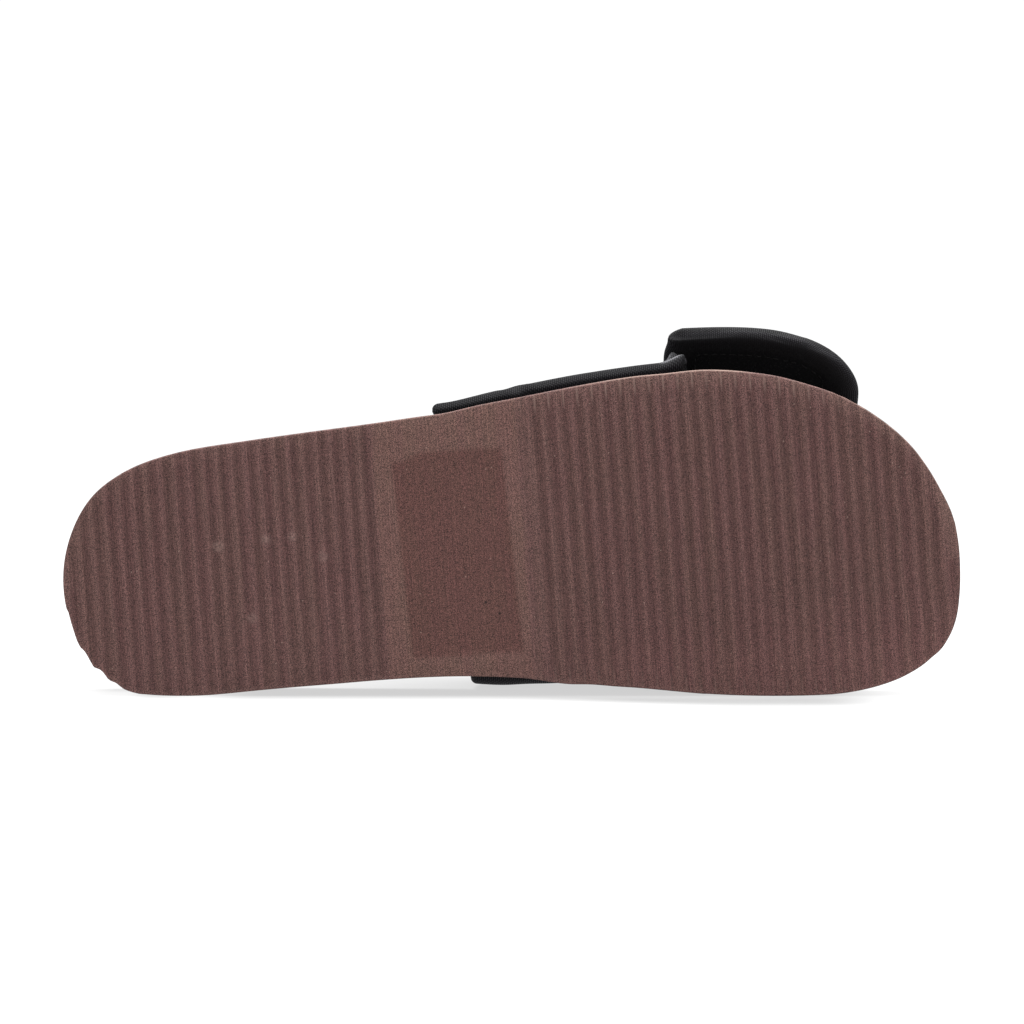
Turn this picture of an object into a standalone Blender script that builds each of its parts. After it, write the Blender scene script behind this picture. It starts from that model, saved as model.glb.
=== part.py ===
"""Massage sandal for the right foot, lying on its inner edge.

Three pieces: a ribbed foam outsole, a contoured insole and an upper of two
padded straps that cross over the instep and are joined there.

Every shape is worked out in the shoe's own frame, in millimetres:
  x  from the heel nose towards the toe
  y  across, positive towards the inner (big toe) side
  z  up from the tread towards the foot
An empty then lays the shoe on its inner edge, with its tread upright.
"""
import math

import bmesh
import bpy
from mathutils import Vector

MM = 0.001

# ---------------------------------------------------------------- named sizes
SOLE_LENGTH = 260.0
LIE_ANGLE = 4.25           # toe end raised by this much when on the inner edge
HEEL_NOSE_Y = -0.6         # heel nose, across
TOE_NOSE_Y = 9.6           # toe nose, across
HEEL_NOSE_RADIUS = 37.8
TOE_NOSE_RADIUS = 58.0
FLOOR_AT_HEEL = 30.37      # height of the middle line over the floor at x = 0

OUTSOLE_HEEL = 18.0        # outsole thickness under the heel
OUTSOLE_FORE = 13.0        # outsole thickness under the ball
WEDGE_FROM, WEDGE_TO = 70.0, 160.0
TOE_SPRING, TOE_SPRING_FROM = 2.5, 208.0
HEEL_SPRING, HEEL_SPRING_TO = 1.2, 26.0
EDGE_ROUND = 0.7

RIB_DEPTH = 1.2
RIB_CREST = 0.30           # share of the pitch that is level crest
RIB_FLOOR = 0.22           # share of the pitch that is level groove
RIB_RIM = 2.6              # the ribs run out over this margin
RIB_RIM_SHARE = 0.35       # depth left at the rim
# columns: x of the first groove, pitch, number of grooves
RIB_FIELDS = (
    dict(first=3.2, pitch=4.148, grooves=22),
    dict(first=140.7, pitch=4.207, grooves=29),
)

INSOLE_THICK = 7.0
INSOLE_INSET = 0.5
HEEL_CUP, HEEL_CUP_BAND, HEEL_CUP_TO = 5.0, 19.0, 95.0
ARCH_RISE, ARCH_X, ARCH_LENGTH = 7.0, 102.0, 42.0
TOE_LIP, TOE_LIP_BAND, TOE_LIP_FROM = 2.5, 12.0, 228.0
GAP = 0.3

WALL = 3.0                 # padded knit strap
STRAP_TUCK = 10.0          # margin of the strap held under the insole
WALL_RISE = 14.0           # upright part of the strap over the seam, outer side
INNER_RISE = 21.0          # the same on the inner side, which lies on the floor
ARCH_POWER = 2.3
ARCH_SKEW = 6.0            # crown of the instep leans to the inner side
JOIN_DEPTH = 0.8           # straps are bonded this deep where they cross

# ------------------------------------------------------------- short tables
# columns: share of the length, outer half width, inner half width
OUTLINE = (
    (0.030, 23.6, 23.0),
    (0.070, 32.4, 30.5),
    (0.130, 38.1, 32.2),
    (0.210, 41.1, 31.2),
    (0.310, 43.8, 29.9),
    (0.410, 46.6, 29.1),
    (0.500, 50.2, 30.2),
    (0.560, 52.7, 32.9),
    (0.630, 55.4, 34.3),
    (0.710, 57.4, 36.9),
    (0.790, 55.8, 38.3),
    (0.860, 51.0, 38.0),
    (0.920, 42.0, 34.7),
    (0.960, 31.9, 29.0),
    (0.985, 20.4, 21.5),
)
# columns: x, height of the strap's crown over its upright part
INSTEP = (
    (100.0, 54.0),
    (130.0, 47.0),
    (160.0, 39.0),
    (200.0, 29.0),
    (240.0, 21.0),
)
# columns: x, how far the outer strap stands proud of the outer edge
OUTER_PROUD = (
    (108.0, 2.1),
    (116.0, 2.3),
    (124.0, 2.9),
    (134.0, 3.2),
    (160.0, 3.1),
    (185.0, 2.9),
)
# columns: x, how far the inner strap stands proud of the inner edge
INNER_PROUD = (
    (112.0, 2.6),
    (119.0, 3.1),
    (125.0, 3.3),
    (131.0, 3.0),
    (137.0, 2.3),
    (143.0, 1.5),
    (152.0, 1.0),
    (165.0, 0.7),
    (190.0, 0.6),
    (240.0, 0.4),
)
# Straps: a row for each section. Turn is the angle round the instep arch,
# 0 on the outer side, 180 on the inner side; rear and front are the two edges.
OUTER_STRAP_EDGES = (
    dict(turn=0.0, rear=110.7, front=186.0),
    dict(turn=30.0, rear=114.0, front=187.5),
    dict(turn=70.0, rear=121.0, front=191.0),
    dict(turn=112.0, rear=131.0, front=195.0),
)
INNER_STRAP_EDGES = (
    dict(turn=180.0, rear=115.7, front=212.0),
    dict(turn=150.0, rear=119.5, front=213.5),
    dict(turn=120.0, rear=127.0, front=216.0),
    dict(turn=90.0, rear=139.0, front=220.0),
    dict(turn=62.0, rear=155.0, front=226.0),
    dict(turn=44.0, rear=167.0, front=230.5),
)
# Tab at the end of the inner strap: reach past the outer edge of the sole,
# share of the drop below the point where it leaves the arch, rear and front edge.
TAB = (
    dict(reach=-5.0, drop=0.38, rear=176.6, front=234.6),
    dict(reach=3.0, drop=0.66, rear=180.0, front=236.4),
    dict(reach=7.2, drop=0.80, rear=181.4, front=235.7),
    dict(reach=10.0, drop=0.90, rear=183.2, front=234.0),
    dict(reach=11.6, drop=0.96, rear=186.2, front=231.4),
    dict(reach=12.4, drop=1.00, rear=191.5, front=226.0),
)
TAB_SKEW = 1.4             # the front of the tab reaches this much further
TAB_DROP = 17.0
TAB_LEAVES = 44.0


# ------------------------------------------------------------------ functions
def smooth(xs, ys, x):
    """Cubic through the rows of a table, held level past its ends."""
    if x <= xs[0]:
        return ys[0]
    if x >= xs[-1]:
        return ys[-1]
    n = len(xs)
    slope = []
    for i in range(n):
        a, b = max(i - 1, 0), min(i + 1, n - 1)
        slope.append((ys[b] - ys[a]) / (xs[b] - xs[a]))
    i = max(k for k in range(n - 1) if xs[k] <= x)
    h = xs[i + 1] - xs[i]
    t = (x - xs[i]) / h
    return ((1 + 2 * t) * (1 - t) ** 2 * ys[i] + t * (1 - t) ** 2 * h * slope[i]
            + t * t * (3 - 2 * t) * ys[i + 1] + t * t * (t - 1) * h * slope[i + 1])


def ease(a, b, x):
    t = min(max((x - a) / (b - a), 0.0), 1.0)
    return t * t * (3 - 2 * t)


def middle(x):
    return HEEL_NOSE_Y + (TOE_NOSE_Y - HEEL_NOSE_Y) * x / SOLE_LENGTH


def half_width(x, column):
    u = min(max(x / SOLE_LENGTH, 0.0), 1.0)
    us = [0.0] + [row[0] for row in OUTLINE] + [1.0]
    ps = ([math.sqrt(2 * HEEL_NOSE_RADIUS * SOLE_LENGTH)]
          + [row[column] / math.sqrt(row[0] * (1 - row[0])) for row in OUTLINE]
          + [math.sqrt(2 * TOE_NOSE_RADIUS * SOLE_LENGTH)])
    return math.sqrt(u * (1 - u)) * smooth(us, ps, u)


def floor_line(x):
    """The floor that the inner edge rests on, as a line across the shoe."""
    return FLOOR_AT_HEEL + x * math.tan(math.radians(LIE_ANGLE))


def outer_edge(x):
    return middle(x) - half_width(x, 1)


def inner_edge(x):
    return min(middle(x) + half_width(x, 2), floor_line(x))


def tread(x):
    z = 0.0
    if x > TOE_SPRING_FROM:
        z += TOE_SPRING * ((x - TOE_SPRING_FROM) / (SOLE_LENGTH - TOE_SPRING_FROM)) ** 2
    if x < HEEL_SPRING_TO:
        z += HEEL_SPRING * ((HEEL_SPRING_TO - x) / HEEL_SPRING_TO) ** 2
    return z


def seam(x):
    """Top of the outsole."""
    thick = OUTSOLE_HEEL + (OUTSOLE_FORE - OUTSOLE_HEEL) * ease(WEDGE_FROM, WEDGE_TO, x)
    return thick + tread(x)


def rib_stations():
    """(x, share of the rib depth) along the sole, four to a pitch."""
    rows = []
    for field in RIB_FIELDS:
        pitch = field["pitch"]
        start = field["first"] - pitch / 2
        for k in range(field["grooves"]):
            c = field["first"] + k * pitch
            ramp = pitch * (1 - RIB_CREST - RIB_FLOOR) / 2
            half = pitch * RIB_FLOOR / 2
            rows += [(c - half - ramp, 0.0), (c - half, 1.0), (c + half, 1.0), (c + half + ramp, 0.0)]
    return rows


def closed_loft(name, rings, banded=False):
    """A closed body through rings that all hold the same number of points.

    A banded ring goes out along one face and back along the other, and its
    ends are closed by a strip of quads."""
    mesh = bpy.data.meshes.new(name)
    bm = bmesh.new()
    loops = [[bm.verts.new(Vector(p) * MM) for p in ring] for ring in rings]
    n = len(rings[0])
    for a, b in zip(loops, loops[1:]):
        for i in range(n):
            j = (i + 1) % n
            bm.faces.new((a[i], a[j], b[j], b[i]))
    for end in (loops[0], loops[-1]):
        if banded:
            for i in range(n // 2 - 1):
                bm.faces.new((end[i], end[i + 1], end[n - 2 - i], end[n - 1 - i]))
        else:
            bm.faces.new(end)
    bmesh.ops.recalc_face_normals(bm, faces=bm.faces)
    bm.to_mesh(mesh)
    bm.free()
    return mesh


# ------------------------------------------------------------------- outsole
def outsole_ring(x, share):
    yo, yi = outer_edge(x), inner_edge(x)
    zb, zt = tread(x), seam(x)
    width = yi - yo
    r = min(EDGE_ROUND, width * 0.12)
    rim = min(RIB_RIM, width * 0.25)
    relief = share * RIB_DEPTH
    ring = [(x, yo + r, zb + relief * RIB_RIM_SHARE * 0.4),
            (x, yo + rim, zb + relief * RIB_RIM_SHARE + relief * (1 - RIB_RIM_SHARE) * 0.5)]
    inner = [0.12, 0.5, 0.88]
    ring += [(x, yo + width * s, zb + relief) for s in inner]
    ring += [(x, yi - rim, zb + relief * RIB_RIM_SHARE + relief * (1 - RIB_RIM_SHARE) * 0.5),
             (x, yi - r, zb + relief * RIB_RIM_SHARE * 0.4),
             (x, yi, zb + r),
             (x, yi, zt - r),
             (x, yi - r, zt),
             (x, yo + r, zt),
             (x, yo, zt - r),
             (x, yo, zb + r)]
    return ring


def make_outsole():
    rows = [(0.12, 0.0), (0.45, 0.0)] + [row for row in rib_stations() if 0.6 < row[0] < SOLE_LENGTH - 0.4]
    rows += [(x, 0.0) for x in (100.0, 107.0, 114.0, 121.0, 128.0)]
    rows += [(SOLE_LENGTH - 0.35, 0.0), (SOLE_LENGTH - 0.1, 0.0)]
    rows.sort()
    return closed_loft("outsole", [outsole_ring(x, share) for x, share in rows])


# -------------------------------------------------------------------- insole
def insole_top(x, y):
    """Height of the footbed over the seam."""
    yo, yi = outer_edge(x) + INSOLE_INSET, inner_edge(x) - INSOLE_INSET
    toe = SOLE_LENGTH - (y - TOE_NOSE_Y) ** 2 / (2 * TOE_NOSE_RADIUS)
    heel = (y - HEEL_NOSE_Y) ** 2 / (2 * HEEL_NOSE_RADIUS)
    near = max(min(y - yo, yi - y, toe - x, x - heel), 0.0)
    z = INSOLE_THICK
    cup = (1 - ease(0.0, HEEL_CUP_BAND, near)) * (1 - ease(HEEL_CUP_TO - 45.0, HEEL_CUP_TO, x))
    z += HEEL_CUP * cup
    along = math.exp(-((x - ARCH_X) / ARCH_LENGTH) ** 2)
    across = 1 - ease(0.0, 34.0, yi - y)
    z += ARCH_RISE * along * across
    lip = (1 - ease(0.0, TOE_LIP_BAND, near)) * ease(TOE_LIP_FROM - 30.0, TOE_LIP_FROM, x)
    z += TOE_LIP * lip
    return z


def insole_ring(x):
    yo, yi = outer_edge(x) + INSOLE_INSET, inner_edge(x) - INSOLE_INSET
    zb = seam(x) + GAP
    width = yi - yo
    r = min(1.2, width * 0.1)
    top = []
    for s in (0.0, 0.06, 0.14, 0.25, 0.4, 0.6, 0.75, 0.86, 0.94, 1.0):
        y = yi - r - (width - 2 * r) * s
        top.append((x, y, seam(x) + insole_top(x, y)))
    return ([(x, yo + r * 0.5, zb), (x, yi - r * 0.5, zb), (x, yi, zb + 0.6), (x, yi, top[0][2] - r)]
            + top + [(x, yo, top[-1][2] - r), (x, yo, zb + 0.6)])


def make_insole():
    n = 40
    xs = []
    for i in range(n + 1):
        t = i / n
        # closer together at both ends, where the outline turns fast
        xs.append(INSOLE_INSET + 0.3 + (SOLE_LENGTH - 2 * INSOLE_INSET - 0.6) * (0.45 * t + 0.55 * (0.5 - 0.5 * math.cos(math.pi * t))))
    return closed_loft("insole", [insole_ring(x) for x in xs])


# --------------------------------------------------------------------- upper
def reach_outer(x):
    return outer_edge(x) - smooth([r[0] for r in OUTER_PROUD], [r[1] for r in OUTER_PROUD], x)


def reach_inner(x):
    proud = smooth([r[0] for r in INNER_PROUD], [r[1] for r in INNER_PROUD], x)
    return min(middle(x) + half_width(x, 2) + proud, floor_line(x))


def arch(x, turn, layer):
    """Point of the instep arch; layer is measured outwards from its face."""
    yo, yi = reach_outer(x), reach_inner(x)
    mid, half = (yo + yi) / 2, (yi - yo) / 2
    rise = smooth([r[0] for r in INSTEP], [r[1] for r in INSTEP], x)
    c, s = math.cos(math.radians(turn)), math.sin(math.radians(turn))
    p = 2 / ARCH_POWER
    y = mid - (half + layer) * math.copysign(abs(c) ** p, c) + ARCH_SKEW * s
    base = WALL_RISE + (INNER_RISE - WALL_RISE) * ease(60.0, 180.0, turn)
    z = seam(x) + base + (WALL_RISE + rise + layer - base) * abs(s) ** p
    return min(y, floor_line(x) + min(layer, 0.0)), z


def foot_of_strap(x, side, grow):
    """Sections of the part held under the insole and of the upright part.

    side is -1 on the outer edge and 1 on the inner edge. Each section is
    (outer face, inner face)."""
    edge = reach_outer(x) if side < 0 else reach_inner(x)
    rise = WALL_RISE if side < 0 else INNER_RISE
    z0 = seam(x) + GAP
    t = WALL
    inside = lambda d: edge - side * d
    return [((inside(STRAP_TUCK + grow), z0 - grow), (inside(STRAP_TUCK + grow), z0 + t + grow)),
            ((inside(t + 1.6), z0 - grow), (inside(t + 2.0), z0 + t + grow)),
            ((inside(1.0), z0 - grow), (inside(t + 0.5 + grow), z0 + t + 0.35 + grow)),
            ((inside(-grow), z0 + 1.2), (inside(t + grow), z0 + t + 1.4)),
            ((inside(-grow), z0 + 0.5 * rise), (inside(t + grow), z0 + 0.5 * rise + 1.0)),
            ((inside(-grow), z0 + rise - GAP), (inside(t + grow), z0 + rise - GAP))]


def edges_at(rows, turn, key):
    pairs = sorted((r["turn"], r[key]) for r in rows)
    return smooth([p[0] for p in pairs], [p[1] for p in pairs], turn)


def strap_body(name, sections):
    """A closed band. sections: rows along the strap, each a list over its
    width of (outer point, inner point)."""
    rings = []
    for row in sections:
        outer = [p[0] for p in row]
        inner = [p[1] for p in row]
        rings.append(outer + inner[::-1])
    return closed_loft(name, rings, banded=True)


COLUMNS = 11


def across_strap(rear, front):
    return [rear + (front - rear) * k / (COLUMNS - 1) for k in range(COLUMNS)]


def foot_rows(rows, turn, side, grow=0.0):
    rear, front = edges_at(rows, turn, "rear") - grow, edges_at(rows, turn, "front") + grow
    xs = across_strap(rear, front)
    columns = [foot_of_strap(x, side, grow) for x in xs]
    return [[((x, *col[k][0]), (x, *col[k][1])) for x, col in zip(xs, columns)] for k in range(len(columns[0]))]


def make_outer_strap():
    rows = foot_rows(OUTER_STRAP_EDGES, 0.0, -1)
    turns = [9 + (112 - 9) * k / 9 for k in range(10)]
    for turn in turns:
        xs = across_strap(edges_at(OUTER_STRAP_EDGES, turn, "rear"), edges_at(OUTER_STRAP_EDGES, turn, "front"))
        rows.append([((x, *arch(x, turn, 0.0)), (x, *arch(x, turn, -WALL))) for x in xs])
    return strap_body("outer_strap", rows)


def over_layer(turn):
    """The inner strap climbs over the outer one towards the crown."""
    return (WALL - JOIN_DEPTH) * (1 - ease(114.0, 142.0, turn))


def make_inner_strap():
    rows = foot_rows(INNER_STRAP_EDGES, 180.0, 1)
    turns = [171 + (TAB_LEAVES - 171) * k / 13 for k in range(14)]
    for turn in turns:
        xs = across_strap(edges_at(INNER_STRAP_EDGES, turn, "rear"), edges_at(INNER_STRAP_EDGES, turn, "front"))
        top = over_layer(turn)
        rows.append([((x, *arch(x, turn, top)), (x, *arch(x, turn, top - WALL))) for x in xs])
    for k, tab in enumerate(TAB):
        row = []
        for n, x in enumerate(across_strap(tab["rear"], tab["front"])):
            y0, z0 = arch(x, TAB_LEAVES, over_layer(TAB_LEAVES))
            y = outer_edge(x) - tab["reach"] - TAB_SKEW * tab["drop"] * n / (COLUMNS - 1)
            z = z0 - TAB_DROP * tab["drop"]
            # thickness across the slope of the tab
            t = WALL * (1.0 if k < len(TAB) - 1 else 0.72)
            row.append(((x, y - 0.25 * t, z + 0.35 * t), (x, y + 0.55 * t, z - 0.6 * t)))
        rows.append(row)
    return strap_body("inner_strap", rows)


# ------------------------------------------------------------------ materials
def finish(name, colour, roughness):
    mat = bpy.data.materials.new(name)
    mat.use_nodes = True
    shader = mat.node_tree.nodes["Principled BSDF"]
    shader.inputs["Base Color"].default_value = (*colour, 1.0)
    shader.inputs["Roughness"].default_value = roughness
    shader.inputs["Metallic"].default_value = 0.0
    return mat


def add(name, mesh, material, parent, guide=False):
    obj = bpy.data.objects.new(name, mesh)
    bpy.context.scene.collection.objects.link(obj)
    obj.parent = parent
    if material:
        mesh.materials.append(material)
    if guide:
        obj.hide_render = True
        obj.display_type = "WIRE"
    return obj


def boolean(obj, other, kind):
    mod = obj.modifiers.new(kind.lower() + "_" + other.name, "BOOLEAN")
    mod.object = other
    mod.operation = kind
    mod.solver = "EXACT"


def main():
    for obj in list(bpy.data.objects):
        bpy.data.objects.remove(obj)

    lie = bpy.data.objects.new("lie", None)
    bpy.context.scene.collection.objects.link(lie)
    lie.rotation_euler = (math.radians(-90.0), math.radians(-LIE_ANGLE), 0.0)

    foam = finish("outsole_foam", (0.125, 0.068, 0.060), 0.72)
    bed = finish("insole_foam", (0.105, 0.058, 0.050), 0.80)
    knit = finish("strap_knit", (0.012, 0.011, 0.013), 0.90)

    outsole = add("outsole", make_outsole(), foam, lie)
    insole = add("insole", make_insole(), bed, lie)
    upper = add("upper", make_outer_strap(), knit, lie)
    inner_strap = add("inner_strap", make_inner_strap(), knit, lie, guide=True)
    boolean(upper, inner_strap, "UNION")

    for name, rows, turn, side in (("outer_strap_bed", OUTER_STRAP_EDGES, 0.0, -1),
                                   ("inner_strap_bed", INNER_STRAP_EDGES, 180.0, 1)):
        bed_cut = add(name, strap_body(name, foot_rows(rows, turn, side, grow=GAP)), None, lie, guide=True)
        boolean(insole, bed_cut, "DIFFERENCE")

    for obj in (outsole, insole, upper):
        obj.data.shade_smooth()
        obj.data.set_sharp_from_angle(angle=math.radians(35.0))

    # stand the shoe on the floor, centred under its own box
    bpy.context.view_layer.update()
    corners = [lie.matrix_world @ v.co for o in (outsole, insole, upper, inner_strap) for v in o.data.vertices]
    low = [min(c[i] for c in corners) for i in range(3)]
    high = [max(c[i] for c in corners) for i in range(3)]
    lie.location = (-(low[0] + high[0]) / 2, -(low[1] + high[1]) / 2, -low[2])
    bpy.context.view_layer.update()


main()
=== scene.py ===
"""Looks of a massage sandal that lies on its inner edge, seen from under its sole."""
import math

import bmesh
import bpy
import numpy as np
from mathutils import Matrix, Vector


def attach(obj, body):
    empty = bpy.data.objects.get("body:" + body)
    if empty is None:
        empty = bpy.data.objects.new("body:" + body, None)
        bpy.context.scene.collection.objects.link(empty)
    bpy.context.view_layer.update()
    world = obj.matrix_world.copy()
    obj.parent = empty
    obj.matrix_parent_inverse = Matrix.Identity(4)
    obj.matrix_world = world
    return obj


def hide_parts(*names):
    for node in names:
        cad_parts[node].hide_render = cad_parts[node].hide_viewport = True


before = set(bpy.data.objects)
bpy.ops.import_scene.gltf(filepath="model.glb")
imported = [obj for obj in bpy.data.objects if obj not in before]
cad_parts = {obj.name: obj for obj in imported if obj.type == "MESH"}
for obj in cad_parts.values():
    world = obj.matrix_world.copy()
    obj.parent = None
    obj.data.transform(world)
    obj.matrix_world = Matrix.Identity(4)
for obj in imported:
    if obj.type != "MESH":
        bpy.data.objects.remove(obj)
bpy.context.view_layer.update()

MM = 0.001

# ------------------------------------------------------------------ the shoe's own frame
# x heel to toe, y across (inner side positive), z from tread to foot, in millimetres
SOLE_LENGTH = 260.0
LIE = math.radians(4.25)
LIE_AT = np.array([-130.001, -38.390, 30.2865])
HEEL_NOSE_Y, TOE_NOSE_Y = -0.6, 9.6
HEEL_NOSE_RADIUS, TOE_NOSE_RADIUS = 37.8, 58.0
FLOOR_AT_HEEL = 30.37
OUTSOLE_HEEL, OUTSOLE_FORE, WEDGE_FROM, WEDGE_TO = 18.0, 13.0, 70.0, 160.0
TOE_SPRING, TOE_SPRING_FROM = 2.5, 208.0
HEEL_SPRING, HEEL_SPRING_TO = 1.2, 26.0
INSOLE_THICK = 7.0
HEEL_CUP, HEEL_CUP_BAND, HEEL_CUP_TO = 5.0, 19.0, 95.0
ARCH_RISE, ARCH_X, ARCH_LENGTH = 7.0, 102.0, 42.0
TOE_LIP, TOE_LIP_BAND, TOE_LIP_FROM = 2.5, 12.0, 228.0
WALL, WALL_RISE, INNER_RISE = 3.0, 14.0, 21.0
ARCH_POWER, ARCH_SKEW = 2.3, 6.0

# share of the length, outer half width, inner half width
OUTLINE = np.array((
    (0.030, 23.6, 23.0), (0.070, 32.4, 30.5), (0.130, 38.1, 32.2), (0.210, 41.1, 31.2),
    (0.310, 43.8, 29.9), (0.410, 46.6, 29.1), (0.500, 50.2, 30.2), (0.560, 52.7, 32.9),
    (0.630, 55.4, 34.3), (0.710, 57.4, 36.9), (0.790, 55.8, 38.3), (0.860, 51.0, 38.0),
    (0.920, 42.0, 34.7), (0.960, 31.9, 29.0), (0.985, 20.4, 21.5)))
# x, height of the crown over the upright part
INSTEP = np.array(((100.0, 54.0), (130.0, 47.0), (160.0, 39.0), (200.0, 29.0), (240.0, 21.0)))
# x, stands proud of the outer edge
OUTER_PROUD = np.array(((108.0, 2.6), (112.0, 2.75), (116.0, 2.6), (124.0, 2.75), (134.0, 3.1), (150.0, 3.15), (160.0, 3.0),
                        (172.0, 2.75), (185.0, 2.8)))
# x, stands proud of the inner edge
INNER_PROUD = np.array(((112.0, 3.2), (119.0, 3.65), (125.0, 3.7), (131.0, 3.1), (137.0, 2.1), (143.0, 0.9),
                        (150.0, 0.1), (158.0, 0.2), (168.0, 0.5), (190.0, 0.6), (240.0, 0.4)))
# turn round the arch, rear edge, front edge
OUTER_STRAP = np.array(((0.0, 110.7, 186.0), (30.0, 114.0, 187.5), (70.0, 121.0, 191.0), (112.0, 131.0, 195.0)))
INNER_STRAP = np.array(((44.0, 167.0, 230.5), (62.0, 155.0, 226.0), (90.0, 139.0, 220.0),
                        (120.0, 127.0, 216.0), (150.0, 119.5, 213.5), (180.0, 115.7, 212.0)))
# reach past the outer edge, share of the drop, rear edge, front edge
TAB = np.array(((-5.0, 0.38, 177.6, 234.8), (3.0, 0.66, 179.9, 236.7), (7.0, 0.80, 180.5, 236.0),
                (9.6, 0.90, 181.45, 233.4), (11.0, 0.96, 182.25, 229.0), (11.6, 1.00, 185.6, 222.0)))
TAB_DROP, TAB_LEAVES, TAB_SKEW = 17.0, 44.0, 2.3


def smooth(xs, ys, x):
    """Cubic through the rows of a table, held level past its ends."""
    xs, ys = np.asarray(xs, float), np.asarray(ys, float)
    x = np.clip(np.asarray(x, float), xs[0], xs[-1])
    n = len(xs)
    a, b = np.maximum(np.arange(n) - 1, 0), np.minimum(np.arange(n) + 1, n - 1)
    slope = (ys[b] - ys[a]) / (xs[b] - xs[a])
    i = np.clip(np.searchsorted(xs, x, side="right") - 1, 0, n - 2)
    h = xs[i + 1] - xs[i]
    t = (x - xs[i]) / h
    return ((1 + 2 * t) * (1 - t) ** 2 * ys[i] + t * (1 - t) ** 2 * h * slope[i]
            + t * t * (3 - 2 * t) * ys[i + 1] + t * t * (t - 1) * h * slope[i + 1])


def ease(a, b, x):
    t = np.clip((np.asarray(x, float) - a) / (b - a), 0.0, 1.0)
    return t * t * (3 - 2 * t)


def bump(c, w, x):
    return np.exp(-((np.asarray(x, float) - c) / w) ** 2)


def to_world(p):
    """Shoe frame in mm to the row frame in metres."""
    p = np.asarray(p, float)
    c, s = math.cos(LIE), math.sin(LIE)
    out = np.empty_like(p)
    out[..., 0] = p[..., 0] * c + p[..., 1] * s
    out[..., 1] = p[..., 2]
    out[..., 2] = p[..., 0] * s - p[..., 1] * c
    return (out + LIE_AT) * MM


def middle(x):
    return HEEL_NOSE_Y + (TOE_NOSE_Y - HEEL_NOSE_Y) * np.asarray(x, float) / SOLE_LENGTH


def half_width(x, column):
    u = np.clip(np.asarray(x, float) / SOLE_LENGTH, 0.0, 1.0)
    us = np.concatenate(([0.0], OUTLINE[:, 0], [1.0]))
    ps = np.concatenate(([math.sqrt(2 * HEEL_NOSE_RADIUS * SOLE_LENGTH)],
                         OUTLINE[:, column] / np.sqrt(OUTLINE[:, 0] * (1 - OUTLINE[:, 0])),
                         [math.sqrt(2 * TOE_NOSE_RADIUS * SOLE_LENGTH)]))
    return np.sqrt(u * (1 - u)) * smooth(us, ps, u)


def floor_line(x):
    return FLOOR_AT_HEEL + np.asarray(x, float) * math.tan(LIE)


def outer_edge(x):
    return middle(x) - half_width(x, 1)


def inner_edge(x):
    return np.minimum(middle(x) + half_width(x, 2), floor_line(x))


def tread(x):
    x = np.asarray(x, float)
    toe = np.clip((x - TOE_SPRING_FROM) / (SOLE_LENGTH - TOE_SPRING_FROM), 0, None) ** 2
    heel = np.clip((HEEL_SPRING_TO - x) / HEEL_SPRING_TO, 0, None) ** 2
    return TOE_SPRING * toe + HEEL_SPRING * heel


def seam(x):
    return OUTSOLE_HEEL + (OUTSOLE_FORE - OUTSOLE_HEEL) * ease(WEDGE_FROM, WEDGE_TO, x) + tread(x)


def reach_outer(x):
    return outer_edge(x) - smooth(OUTER_PROUD[:, 0], OUTER_PROUD[:, 1], x)


def reach_inner(x):
    return np.minimum(middle(x) + half_width(x, 2) + smooth(INNER_PROUD[:, 0], INNER_PROUD[:, 1], x), floor_line(x))


def arch(x, turn, layer):
    """Point of the instep arch; layer is measured outwards from the strap's face."""
    x, turn, layer = np.broadcast_arrays(np.asarray(x, float), np.asarray(turn, float), np.asarray(layer, float))
    yo, yi = reach_outer(x), reach_inner(x)
    mid, half = (yo + yi) / 2, (yi - yo) / 2
    rise = smooth(INSTEP[:, 0], INSTEP[:, 1], x)
    c, s = np.cos(np.radians(turn)), np.sin(np.radians(turn))
    p = 2 / ARCH_POWER
    y = mid - (half + layer) * np.sign(c) * np.abs(c) ** p + ARCH_SKEW * s
    base = WALL_RISE + (INNER_RISE - WALL_RISE) * ease(60.0, 180.0, turn)
    z = seam(x) + base + (WALL_RISE + rise + layer - base) * np.abs(s) ** p
    return np.stack([x, y, z], -1)


# ------------------------------------------------------------------ mesh helpers
def make_mesh(name, verts, quads, tris=None, uv=None, attributes=None, smooth_angle=None):
    mesh = bpy.data.meshes.new(name)
    quads = np.asarray(quads, np.int32).reshape(-1, 4)
    tris = np.zeros((0, 3), np.int32) if tris is None else np.asarray(tris, np.int32).reshape(-1, 3)
    loops = np.concatenate([quads.ravel(), tris.ravel()])
    sizes = np.concatenate([np.full(len(quads), 4, np.int32), np.full(len(tris), 3, np.int32)])
    starts = np.concatenate([[0], np.cumsum(sizes)[:-1]]).astype(np.int32)
    mesh.vertices.add(len(verts))
    mesh.vertices.foreach_set("co", np.asarray(verts, np.float32).ravel())
    mesh.loops.add(len(loops))
    mesh.loops.foreach_set("vertex_index", loops.astype(np.int32))
    mesh.polygons.add(len(sizes))
    mesh.polygons.foreach_set("loop_start", starts)
    mesh.update(calc_edges=True)
    if uv is not None:
        layer = mesh.uv_layers.new(name="UVMap")
        layer.data.foreach_set("uv", np.asarray(uv, np.float32)[loops].ravel())
    for key, values in (attributes or {}).items():
        at = mesh.attributes.new(key, "FLOAT", "POINT")
        at.data.foreach_set("value", np.asarray(values, np.float32).ravel())
    mesh.validate()
    bm = bmesh.new()
    bm.from_mesh(mesh)
    bmesh.ops.recalc_face_normals(bm, faces=bm.faces)
    bm.to_mesh(mesh)
    bm.free()
    mesh.shade_smooth()
    if smooth_angle:
        mesh.set_sharp_from_angle(angle=math.radians(smooth_angle))
    obj = bpy.data.objects.new(name, mesh)
    bpy.context.scene.collection.objects.link(obj)
    return obj


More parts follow.
